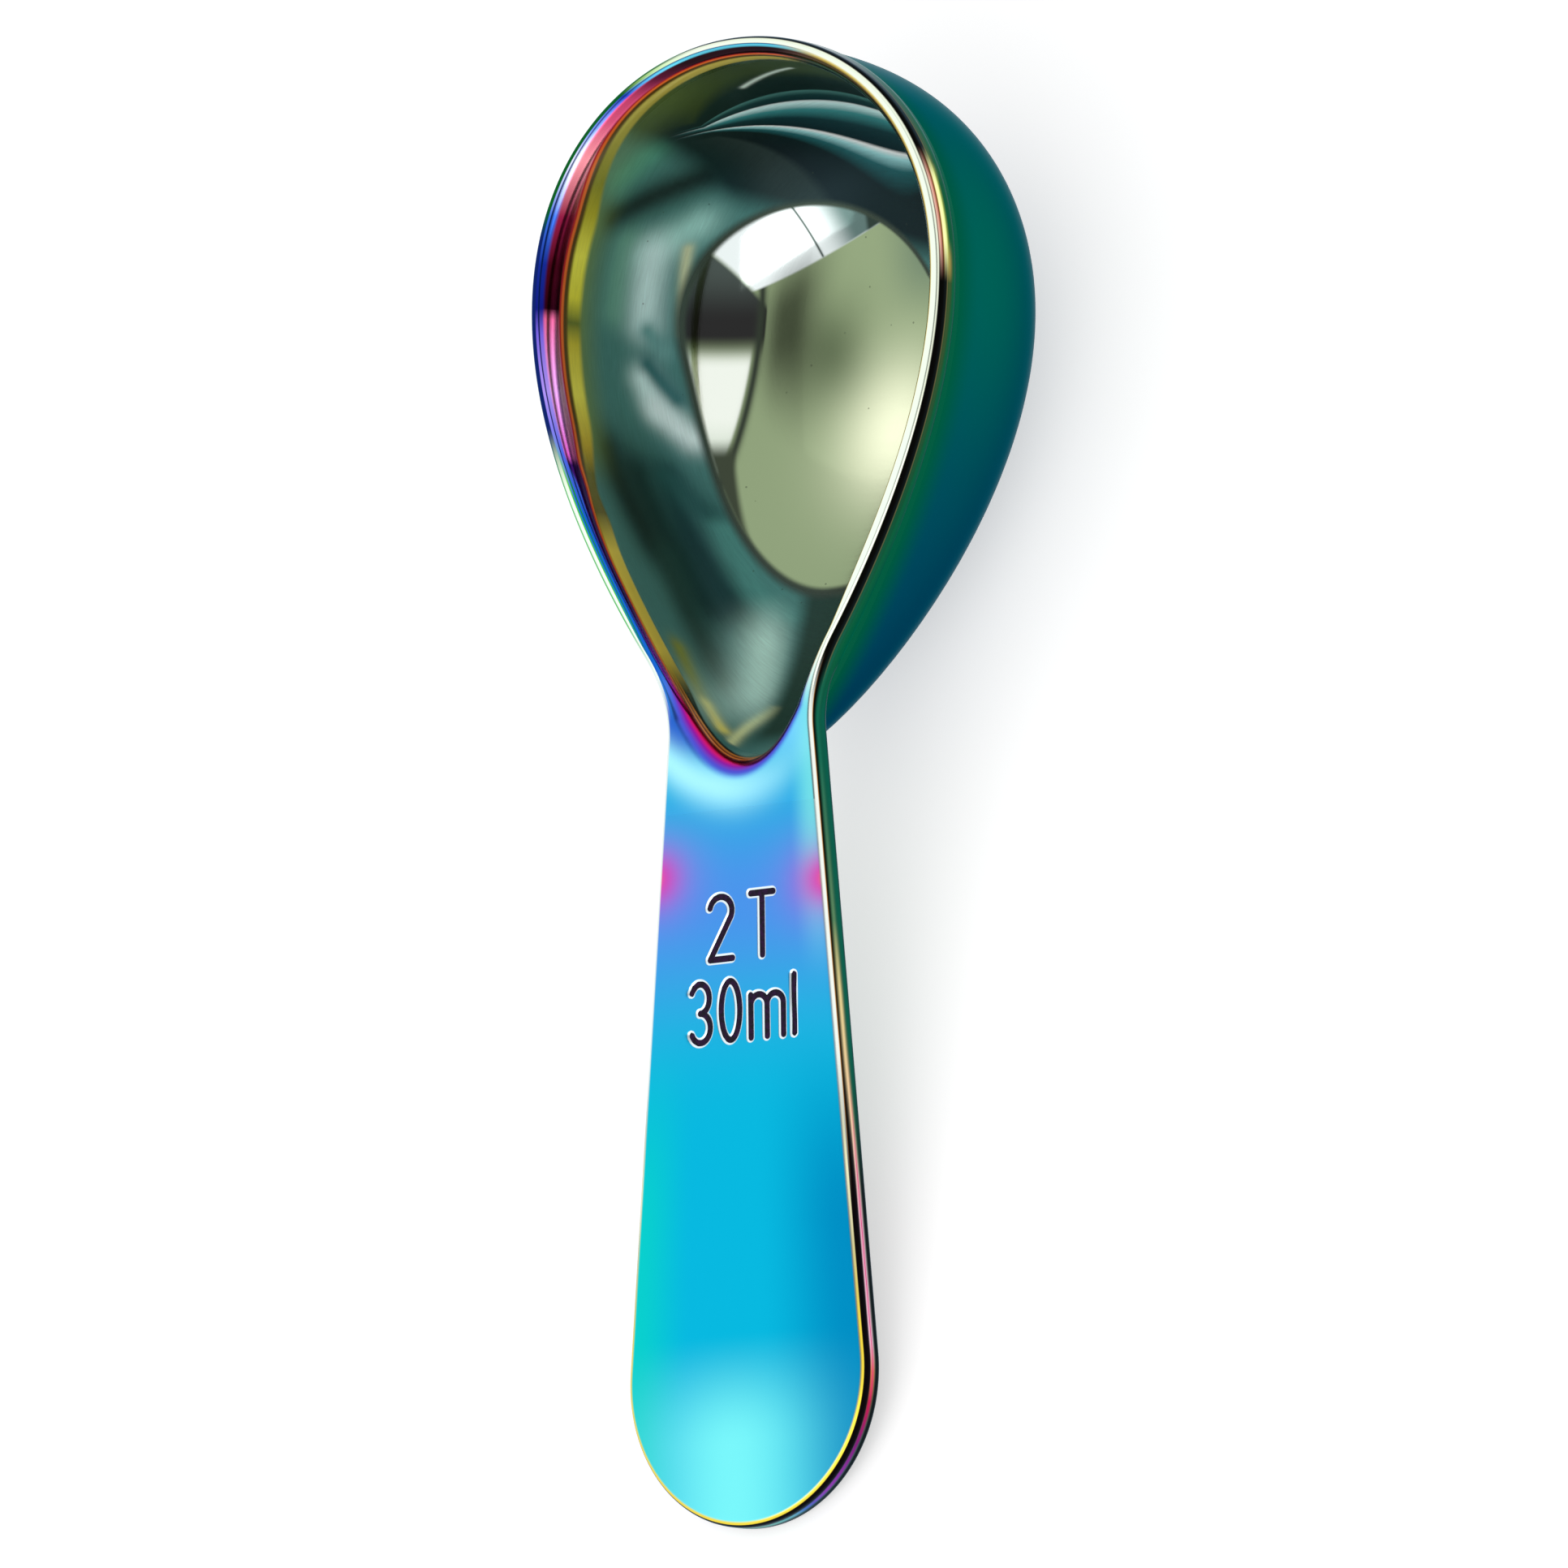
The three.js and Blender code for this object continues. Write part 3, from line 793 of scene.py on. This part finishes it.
# The round edge of the sheet: shares of its upper and lower inset, height and fold, row by row
edge_turn = np.linspace(0, np.pi / 2, edge_steps)
wall_shares = np.linspace(0, 1, wall_steps)[1:-1]
wall_height = sheet_thickness - 2 * edge_radius
top_shares = np.pad(1 - np.sin(edge_turn), (0, len(wall_shares) + edge_steps))
low_shares = np.pad(1 - np.cos(edge_turn), (edge_steps + len(wall_shares), 0))
edge_heights = np.concatenate(
    (
        edge_radius * (np.cos(edge_turn) - 1),
        -edge_radius - wall_shares * wall_height,
        edge_radius * (1 - np.sin(edge_turn)) - sheet_thickness,
    )
)
edge_folds = -np.concatenate((edge_turn / (np.pi / 2), 1 + wall_shares, 2 + edge_turn / (np.pi / 2)))
edge_rows = zip(top_shares, low_shares, edge_heights)
rim_row([rim_loop(top * top_inset + low * under_inset, z) for top, low, z in edge_rows], edge_folds, 1)

# The underside, and the outside of the bowl below it
outside_rows = mouth_loops(outer_skirt, bowl_wall)
under_loop = rim_rows[-1]
under_shares = np.array((0.3, 0.65))
rim_row([under_loop * (1 - s) + outside_rows[0] * s for s in under_shares], -3 - under_shares, 1)
rim_row(outside_rows, outer_fold(outer_skirt), 1)
rim_points = np.stack(rim_rows)
rim_columns = rim_points.shape[1]
rim = steel_piece(
    "rim_sheet",
    rim_points,
    grid_quads(*rim_points.shape[:2], True),
    {"fold": np.repeat(rim_folds, rim_columns), "shelf": np.repeat(rim_shelves, rim_columns)},
)


def top_colour(x, y):
    """Coat on the flat top: cyan, bluer on the right, turquoise on the left, periwinkle by the marks, with
    painted highlights behind the mouth and towards the end.
    """
    width = x / (11.5 - y.rise(-92, -42) * 4)
    middle = y.rise(-60, -80)
    colour = (width.rise(0.1, 1) * middle).over(colour_of(0, 140, 192), colour_of(6, 180, 218))
    colour = (width.rise(-0.5, -1.05) * middle).over(colour_of(8, 202, 200), colour)
    blush = y.bell(-51.5, 8.5)
    colour = (blush * 0.9).over(colour_of(76, 142, 232), colour)
    # Painted highlight towards the end of the handle
    end_highlight = y.rise(-88, -98) * (x + 1.5).bell(0, 8)
    colour = end_highlight.over(colour_of(118, 240, 244), colour)
    beside = x.rise(-3, 4).over(colour_of(110, 202, 248), colour_of(36, 92, 200))
    colour = y.rise(-41, -37).over(beside, colour)
    fringe = width.rise(0.7, 1.05) * y.rise(-60, -48)
    colour = (fringe * 0.8).over(colour_of(120, 226, 226), colour)
    # Painted highlight just behind the mouth's tip, where the sheet starts to curve
    neck_highlight = (y + 41.9 - 0.05 * x * x).bell(0, 1.9) * x.rise(11, -3)
    colour = neck_highlight.over(colour_of(165, 240, 255), colour)
    for edge, station in ((-9.3, -48.9), (9.3, -50.4)):
        near = y.bell(station, 3.4) * x.bell(edge, 4.2)
        colour = (near * 0.75).over(colour_of(160, 92, 216), colour)
        close = y.bell(station, 1.9) * x.bell(edge, 2.3)
        colour = close.over(colour_of(222, 56, 170), colour)
        core = y.bell(station, 0.7) * x.bell(edge * 1.01, 0.7)
        colour = core.over(colour_of(250, 150, 60), colour)
    return colour


def outer_line(y):
    """Line along the outside of the flat on the left: navy on the side, green towards the nose."""
    return y.rise(7, 10).over(colour_of(10, 92, 30), colour_of(14, 34, 104))


def edge_coat_and_reflections(x, y, fold):
    """Coat over the round edge, green on the left and below, with painted reflections: a pale crest
    highlight, a black line, light streaks along the wall and glints.
    """
    # Painted reflected streaks along the wall of the edge, station by station
    streaks = [
        (-105, (50, 160, 130)),
        (-104.3, (120, 210, 205)),
        (-103.4, (60, 90, 205)),
        (-102.2, (150, 50, 185)),
        (-98.5, (132, 12, 124)),
        (-95, (196, 16, 66)),
        (-92.5, (244, 120, 90)),
        (-90, (255, 196, 218)),
        (-80, (250, 182, 206)),
        (-70, (242, 204, 160)),
        (-60, (225, 205, 140)),
        (-54, (90, 130, 90)),
        (-40, (20, 105, 80)),
        (-20, (14, 80, 50)),
        (-1, (60, 80, 40)),
        (1.5, (210, 170, 90)),
        (4, (228, 250, 160)),
        (7, (225, 215, 130)),
        (9.5, (60, 90, 55)),
        (23, (14, 80, 60)),
    ]
    # Green coat below; the black line is a painted reflection and the last stop a painted highlight on the
    # crest
    rim_bands = [
        (-4.5, (0, 96, 72)),
        (-3, (0, 78, 60)),
        (-2, (6, 92, 56)),
        (-1.7, (10, 74, 40)),
        (-1.45, (26, 60, 30)),
        (-1.36, (120, 104, 66)),
        (-1.26, (8, 8, 7)),
        (-0.42, (8, 8, 7)),
        (-0.3, (242, 250, 226)),
    ]
    # The same on the handle: a painted black line, then gold and white painted highlights on the crest
    handle_bands = [
        (-4.5, (0, 96, 72)),
        (-3, (0, 78, 60)),
        (-2.2, (6, 60, 50)),
        (-1.9, (4, 92, 72)),
        (-1.4, (8, 84, 62)),
        (-1, (4, 60, 48)),
        (-0.82, (10, 8, 7)),
        (-0.66, (10, 8, 7)),
        (-0.6, (190, 130, 50)),
        (-0.53, (246, 252, 244)),
    ]
    # A painted glint on the right of the rim
    glint_bands = [
        (-1.75, (10, 84, 50)),
        (-1.55, (120, 140, 60)),
        (-1.35, (240, 250, 160)),
        (-1.05, (252, 248, 186)),
        (-0.95, (190, 150, 70)),
        (-0.85, (70, 24, 18)),
        (-0.7, (214, 140, 120)),
        (-0.55, (236, 196, 176)),
        (-0.46, (110, 50, 40)),
        (-0.36, (242, 250, 226)),
    ]
    necked = y.rise(-31, -37)
    colour = necked.over(ramp_of(fold, handle_bands), ramp_of(fold, rim_bands))
    lower = y.rise(-64, -78)
    streak = (fold + 0.45 - 0.45 * necked + 0.22 * lower).bell(-1.17, 0.24)
    colour = streak.over(ramp_of(y, streaks), colour)
    glint = x.rise(4, 8) * y.rise(-1, 3) * y.rise(11, 7.5)
    colour = glint.over(ramp_of(fold, glint_bands), colour)
    # Painted reflected lines towards the handle's end: a magenta line between dark ones
    colour = (lower * fold.bell(-1.42, 0.06) * y.rise(-97, -93)).over(colour_of(208, 16, 116), colour)
    colour = (lower * fold.rise(-1.62, -1.85)).over(colour_of(14, 18, 18), colour)
    colour = (lower * fold.rise(-1.22, -1.08)).over(colour_of(12, 8, 10), colour)
    # Painted highlights on the handle's crest: gold towards the end, pale along the middle
    gold = y.rise(-74, -90) * fold.rise(-0.5, -0.42)
    colour = gold.over(colour_of(250, 222, 72), colour)
    crest = y.rise(-66, -76) * y.rise(-90, -74) * fold.rise(-0.5, -0.42)
    colour = crest.over(colour_of(248, 244, 200), colour)
    # Painted highlights on the crest on the left: white and pale green
    left = x.rise(-3, -9) * y.rise(-46, -38) * fold.rise(0, -0.06) * fold.rise(-0.95, -0.8)
    upper = fold.rise(-0.4, -0.5).over(colour_of(175, 238, 170), outer_line(y))
    white = y.rise(-26, -32).over(colour_of(244, 252, 246), colour_of(70, 190, 60))
    flank = fold.rise(-0.4, -0.5).over(colour_of(215, 248, 205), white)
    return left.over(y.rise(-16, -9).over(upper, flank), colour)


sheet_edge_tint = (0.62, 0.72, 0.8, 1.0)


def rim_look(tree):
    level, x, y, z = level_coordinates(tree)
    fold = field(tree, "fold")
    shelf = field(tree, "shelf")
    noise, bump = brushing(level, density=(1.5, 1.5, 6.0), depth=0.05)
    inside = inside_colour(x, y, z, fold)[0]
    # Painted highlights along the crest of the edge: near white, pale green on the left, near white again on
    # the flank
    crest = x.rise(-3, -12).over(colour_of(180, 232, 120), colour_of(238, 250, 232))
    left = x.rise(-2, -7) * y.rise(-16, -9) * y.rise(20.8, 18.5)
    blue = outer_band(y)
    crest = left.over(shelf.rise(0.45, 0.6).over(outer_line(y), blue), crest)
    green = shelf.rise(0.15, 0.3) * y.rise(-32, -27)
    flank = green.over(colour_of(70, 190, 60), blue)
    flank = shelf.rise(0.45, 0.6).over(colour_of(240, 252, 240), flank)
    flank = x.rise(2, -2).over(flank, colour_of(238, 250, 236))
    crest = y.rise(-9, -16).over(flank, crest)
    flat = y.rise(-31, -36).over(top_colour(x, y), crest)
    outside = fold.rise(-3.6, -4).over(outside_colour(x, y, z), edge_coat_and_reflections(x, y, fold))
    colour = fold.rise(-0.3, -0.05).over(flat, outside)
    tip = y.rise(-31, -35)
    colour = fold.rise(0, 0.04 + 0.24 * tip).over(inside, colour)
    metal = 1 - 0.9 * (band_place(y, fold) - 0.2 * tip).rise(0.44, 0.5) * x.rise(8, 4)
    return steel(colour, 0.14 + 0.06 * noise, metal, bump, sheet_edge_tint)


rim.data.materials.append(material_of("rim_steel", rim_look))
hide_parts("rim")
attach(rim, "root")

# Handle
# The flat tapered handle of the same sheet, with a round end and rounded edges, brushed along its length.
# The capacity is engraved into its top as single strokes, with a painted highlight of near white on their
# bevelled sides.

mark_lead = 7.4
spoon_row_height = 5.3
spoon_row_gap = 2.05
metric_row_height = 5.0
metric_row_gap = 1.2
row_gap = 1.95
two_width = 2.4
tee_width = 2.4
three_width = 2.1
three_upper_width = 1.93
zero_width = 2.0
em_width = 3.5
em_height = 3.6

groove_floor = 0.17
groove_half = 0.17
groove_edge = 0.43
mark_margin = 0.7
far_from_marks = 2.0
fine_share = 0.55  # of the handle's width, where the columns are closest
underside_fold = -3.5
lead_rows = 20
mark_rows = 170
trail_rows = 44
end_rows = 48
side_columns = 16
mark_columns = 128
low_columns = 26
arc_points = 40


def arc(x, y, radius_x, radius_y, start, end):
    """Points of an ellipse's arc, from one angle to another in degrees."""
    turn = np.radians(np.linspace(start, end, arc_points))
    return np.stack((x + radius_x * np.cos(turn), y + radius_y * np.sin(turn)), axis=1)


def two_paths(x, foot, top):
    radius = two_width / 2
    bow = arc(x, top - radius, radius, radius, 165, -38)
    return [np.vstack((bow, (x - radius, foot), (x + radius, foot)))]


def tee_paths(x, foot, top):
    half = tee_width / 2
    return [np.array(((x - half, top), (x + half, top))), np.array(((x, top), (x, foot)))]


def three_paths(x, foot, top):
    middle = (foot + top) / 2
    quarter = (top - foot) / 4
    upper = arc(x, middle + quarter, three_upper_width / 2, quarter, 155, -90)
    return [upper, arc(x, middle - quarter, three_width / 2, quarter, 90, -155)]


def zero_paths(x, foot, top):
    return [arc(x, (foot + top) / 2, zero_width / 2, (top - foot) / 2, 0, 360)]


def em_paths(x, foot, top):
    radius = em_width / 4
    spring = foot + em_height - radius
    arches = [
        np.vstack((arc(centre, spring, radius, radius, 180, 0), (centre + radius, foot)))
        for centre in (x - radius, x + radius)
    ]
    return [np.array(((x - em_width / 2, foot + em_height), (x - em_width / 2, foot))), *arches]


def ell_paths(x, foot, top):
    return [np.array(((x, top), (x, foot)))]


def row_of_signs(signs, y, height, gap):
    """Strokes of a row of signs about the centre line, side by side from the left."""
    x = -(sum(width for width, paths in signs) + gap * (len(signs) - 1)) / 2
    lines = []
    for width, paths in signs:
        lines += paths(x + width / 2, y - height / 2, y + height / 2)
        x += width + gap
    return lines


spoon_row_y = neck_cut - mark_lead - spoon_row_height / 2
metric_row_y = spoon_row_y - spoon_row_height / 2 - row_gap - metric_row_height / 2
spoon_signs = [(two_width, two_paths), (tee_width, tee_paths)]
metric_signs = [(three_width, three_paths), (zero_width, zero_paths), (em_width, em_paths), (0.0, ell_paths)]
strokes = row_of_signs(spoon_signs, spoon_row_y, spoon_row_height, spoon_row_gap)
strokes += row_of_signs(metric_signs, metric_row_y, metric_row_height, metric_row_gap)


def stroke_distance(points):
    """Distance from each point to the nearest stroke, taken segment by segment, up to a limit."""
    nearest = np.full(len(points), far_from_marks)
    for line in strokes:
        for start, end in zip(line[:-1], line[1:]):
            step = end - start
            share = np.clip((points - start) @ step / (step @ step), 0, 1)
            nearest = np.minimum(nearest, np.linalg.norm(points - start - share[:, None] * step, axis=1))
    return nearest


mark_top = spoon_row_y + spoon_row_height / 2 + mark_margin
mark_foot = metric_row_y - metric_row_height / 2 - mark_margin
side_end_y = -end_station + end_radius * side_normal[1]
stations = np.concatenate(
    (
        np.linspace(neck_cut, mark_top, lead_rows, endpoint=False),
        np.linspace(mark_top, mark_foot, mark_rows, endpoint=False),
        np.linspace(mark_foot, side_end_y, trail_rows, endpoint=False),
    )
)
end_turns = np.linspace(side_turn, -np.pi / 2, end_rows)
top_columns = np.concatenate(
    (
        np.linspace(-1, -fine_share, side_columns, endpoint=False),
        np.linspace(-fine_share, fine_share, mark_columns, endpoint=False),
        np.linspace(fine_share, 1, side_columns + 1),
    )
)
under_columns = np.linspace(1, -1, low_columns)[1:-1]


def edge_column(inset, height):
    """Right-hand edge at an inset and a height: straight stations, then turns about the end's centre."""
    radius = end_radius - inset
    x = np.concatenate((side_reach(stations, inset), radius * np.cos(end_turns)))
    y = np.concatenate((stations, radius * np.sin(end_turns) - end_station))
    return np.stack((x, y, np.full(len(x), height)), axis=1)


def flat_face(edge, columns):
    """Points between a right-hand edge and its mirror image, at shares of the half width."""
    face = np.repeat(edge[:, None], len(columns), axis=1)
    face[..., 0] *= columns
    return face


edge_insets = edge_radius * (top_shares + low_shares)
right_edge = np.stack([edge_column(*place) for place in zip(edge_insets, edge_heights)], axis=1)
left_edge = (right_edge * (-1.0, 1.0, 1.0))[:, ::-1]
top_face = flat_face(right_edge[:, 0], top_columns)
groove = stroke_distance(top_face[..., :2].reshape(-1, 2)).reshape(top_face.shape[:2])
slope = np.clip((groove_edge - groove) / (groove_edge - groove_half), 0, 1)
top_face[..., 2] = -groove_floor * slope
under_face = flat_face(right_edge[:, -1], under_columns)
handle_points = np.concatenate((top_face[:, 1:-1], right_edge, under_face, left_edge), axis=1)
top_count = len(top_columns) - 2
under_folds = np.full(len(under_columns), underside_fold)
ring_folds = np.concatenate((np.zeros(top_count), edge_folds, under_folds, edge_folds[::-1]))
no_groove = ((0, 0), (0, handle_points.shape[1] - top_count))
handle_fields = {
    "fold": np.tile(ring_folds, len(handle_points)),
    "groove": np.pad(groove[:, 1:-1], no_groove, constant_values=far_from_marks),
}
handle = steel_piece(
    "handle_sheet",
    handle_points,
    grid_quads(*handle_points.shape[:2], False),
    handle_fields,
    [list(range(handle_points.shape[1]))],
)


def handle_look(tree):
    level, x, y = level_coordinates(tree)[:3]
    fold = field(tree, "fold")
    cut = field(tree, "groove")
    noise, bump = brushing(level, density=(7.0, 0.35, 3.0), depth=0.07)
    colour = top_colour(x, y)
    colour = fold.rise(-0.04, -0.3).over(edge_coat_and_reflections(x, y, fold), colour)
    # Painted highlight on the bevelled sides of the grooves
    bright = cut.rise(groove_edge + 0.04, groove_edge - 0.03)
    colour = bright.over(colour_of(236, 250, 255), colour)
    return steel(colour, 0.26 + 0.08 * noise, 1.0, bump, sheet_edge_tint)


handle.data.materials.append(material_of("handle_steel", handle_look))
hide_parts("handle")
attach(handle, "root")

# Capacity marks
# Near-black violet fill, baked into the bottom of the engraved strokes, a little below the top face.
# Its six solids stay as they are and are given a duller, grained surface.


def fill_look(tree):
    level = level_coordinates(tree)[0]
    grain = level.add("ShaderNodeTexNoise", {}, {"Vector": level, "Scale": 3.0, "Detail": 3.0})
    colour = grain.rise(0.35, 0.7).over(colour_of(42, 4, 56), colour_of(8, 2, 22))
    return {"Base Color": colour, "Roughness": 0.4 + 0.2 * grain, "Specular IOR Level": 0.15}


mark_fill = material_of("mark_fill", fill_look)
for node in ("mark_2", "mark_T", "mark_3", "mark_0", "mark_m", "mark_l"):
    sign = frame["nodes"][node]
    sign.data.materials.clear()
    sign.data.materials.append(mark_fill)

# Table
# A plain pale table top under the scoop, wide enough to fill the picture. It glows a little, so that only a
# soft shadow is left on it.

table_half = 6.0
table_gap = 0.1 * mm
table_white = (0.76, 0.76, 0.76, 1.0)
table_glow = 0.54


def table_look(tree):
    return {
        "Base Color": table_white,
        "Roughness": 0.8,
        "Specular IOR Level": 0.0,
        "Emission Color": (1.0, 1.0, 1.0, 1.0),
        "Emission Strength": table_glow,
    }


square_corners = ((-1, -1), (1, -1), (1, 1), (-1, 1))
table_mesh = bpy.data.meshes.new("table")
table_points = [(x * table_half, y * table_half, -table_gap) for x, y in square_corners]
table_mesh.from_pydata(table_points, [], [(0, 1, 2, 3)])
table_mesh.materials.append(material_of("table_white", table_look))
table = in_scene("table", table_mesh)

# Light
# A white room, seen by the camera and in the metal, and seven tenths as strong on matt things. Two soft boxes
# add to it from the left and from the handle's side, and a dark card above is reflected in the floor.

world = bpy.data.worlds.new("white_room")
bpy.context.scene.world = world
world.use_nodes = True
room = world.node_tree
room.nodes.clear()
path = room.nodes.new("ShaderNodeLightPath")
seen = Shade(room, path.outputs["Is Camera Ray"]) + Shade(room, path.outputs["Is Glossy Ray"])
seen = seen + Shade(room, path.outputs["Is Transmission Ray"])
matt_share = 0.7
strength = seen.rise(0, 1) * (1 - matt_share) + matt_share
white = seen.add("ShaderNodeBackground", {}, {"Color": (1.0, 1.0, 1.0, 1.0), "Strength": strength})
seen.add("ShaderNodeOutputWorld", {}, {"Surface": white})

scoop_middle = np.array((0.0, 0.03, 0.015))


def facing(toward):
    """A turn whose third axis points in a direction and whose first axis is square to the y axis."""
    away = np.array(toward) / np.linalg.norm(toward)
    side = np.cross((0.0, 1.0, 0.0), away)
    side /= np.linalg.norm(side)
    return np.stack((side, np.cross(away, side), away), axis=1)


def soft_box(name, toward, distance, width, height, radiance):
    """A lamp that hangs in a direction from the scoop and faces it, as bright as a white of that radiance."""
    lamp = bpy.data.lights.new(name, "AREA")
    lamp.shape = "RECTANGLE"
    lamp.size = width
    lamp.size_y = height
    lamp.energy = radiance * math.pi * width * height
    turn = facing(toward)
    pose = np.eye(4)
    pose[:3, :3] = turn
    pose[:3, 3] = scoop_middle + distance * turn[:, 2]
    in_scene(name, lamp).matrix_world = Matrix(pose.tolist())


def dark_card(name, toward, distance, width, height, depth, softness):
    """A dark board that only the polished steel sees, darkest in the middle and fading towards its edge."""
    mesh = bpy.data.meshes.new(name)
    turn = facing(toward)
    local = np.array(square_corners) * (width / 2, height / 2) @ turn[:, :2].T
    placed = scoop_middle + distance * turn[:, 2] + local
    mesh.from_pydata(placed.tolist(), [], [(0, 1, 2, 3)])
    corners = mesh.uv_layers.new(name="UVMap")
    corners.data.foreach_set("uv", np.ravel(square_corners).astype(np.float32))
    card = in_scene(name, mesh)
    card.visible_camera = False
    card.visible_diffuse = False
    card.visible_shadow = False
    material = bpy.data.materials.new(name)
    material.use_nodes = True
    tree = material.node_tree
    tree.nodes.clear()
    start = Shade(tree)
    place = start.add("ShaderNodeTexCoord", {}, {}, output=2)
    u = start.add("ShaderNodeSeparateXYZ", {}, {"Vector": place}, output=0)
    v = start.add("ShaderNodeSeparateXYZ", {}, {"Vector": place}, output=1)
    edge = u.math("ABSOLUTE", u).rise(1, 1 - softness) * v.math("ABSOLUTE", v).rise(1, 1 - softness)
    clear = start.add("ShaderNodeBsdfTransparent", {}, {})
    board = start.add("ShaderNodeBsdfDiffuse", {}, {"Color": (0.02, 0.02, 0.02, 1.0)})
    surface = start.add("ShaderNodeMixShader", {}, {0: edge * depth, 1: clear, 2: board})
    start.add("ShaderNodeOutputMaterial", {}, {"Surface": surface})
    mesh.materials.append(material)


soft_box("window", (-0.62, -0.03, 0.79), distance=0.9, width=0.7, height=0.7, radiance=0.1)
soft_box("front_box", (0.03, -0.62, 0.78), distance=0.9, width=1.1, height=0.46, radiance=0.9)
card_size = 0.75
dark_card("ceiling_card", (-0.12, -0.08, 0.98), 0.8, card_size, card_size, depth=0.8, softness=0.9)

# Camera
# A long lens above the scoop's right, 38.5 degrees from upright and 7.8 degrees towards the handle, and
# rolled by less than a degree, as it was fitted to the outline in the photo.

camera_turn = math.radians(38.5)
camera_lean = math.radians(-7.76)
camera_roll = math.radians(-0.659)
camera_distance = 2500.0
frame_width = 132.24  # what the picture is wide, at the scoop
frame_centre = np.array((4.84, -42.05, 0.0))

toward = np.array(
    (
        math.sin(camera_turn) * math.cos(camera_lean),
        math.sin(camera_lean),
        math.cos(camera_turn) * math.cos(camera_lean),
    )
)
right, above, toward = facing(toward).T
rolled_right = math.cos(camera_roll) * right + math.sin(camera_roll) * above
rolled_above = np.cross(toward, rolled_right)
lens = bpy.data.cameras.new("camera")
lens.lens = lens.sensor_width * camera_distance / frame_width
camera = in_scene("camera", lens)
camera_pose = np.eye(4)
camera_pose[:3, :3] = (np.stack((rolled_right, rolled_above, toward)) @ level_axes).T
camera_pose[:3, 3] = level_origin + (frame_centre + camera_distance * toward) @ level_axes * mm
camera.matrix_world = Matrix(camera_pose.tolist())
bpy.context.scene.camera = camera
bpy.context.scene.view_settings.view_transform = "Standard"
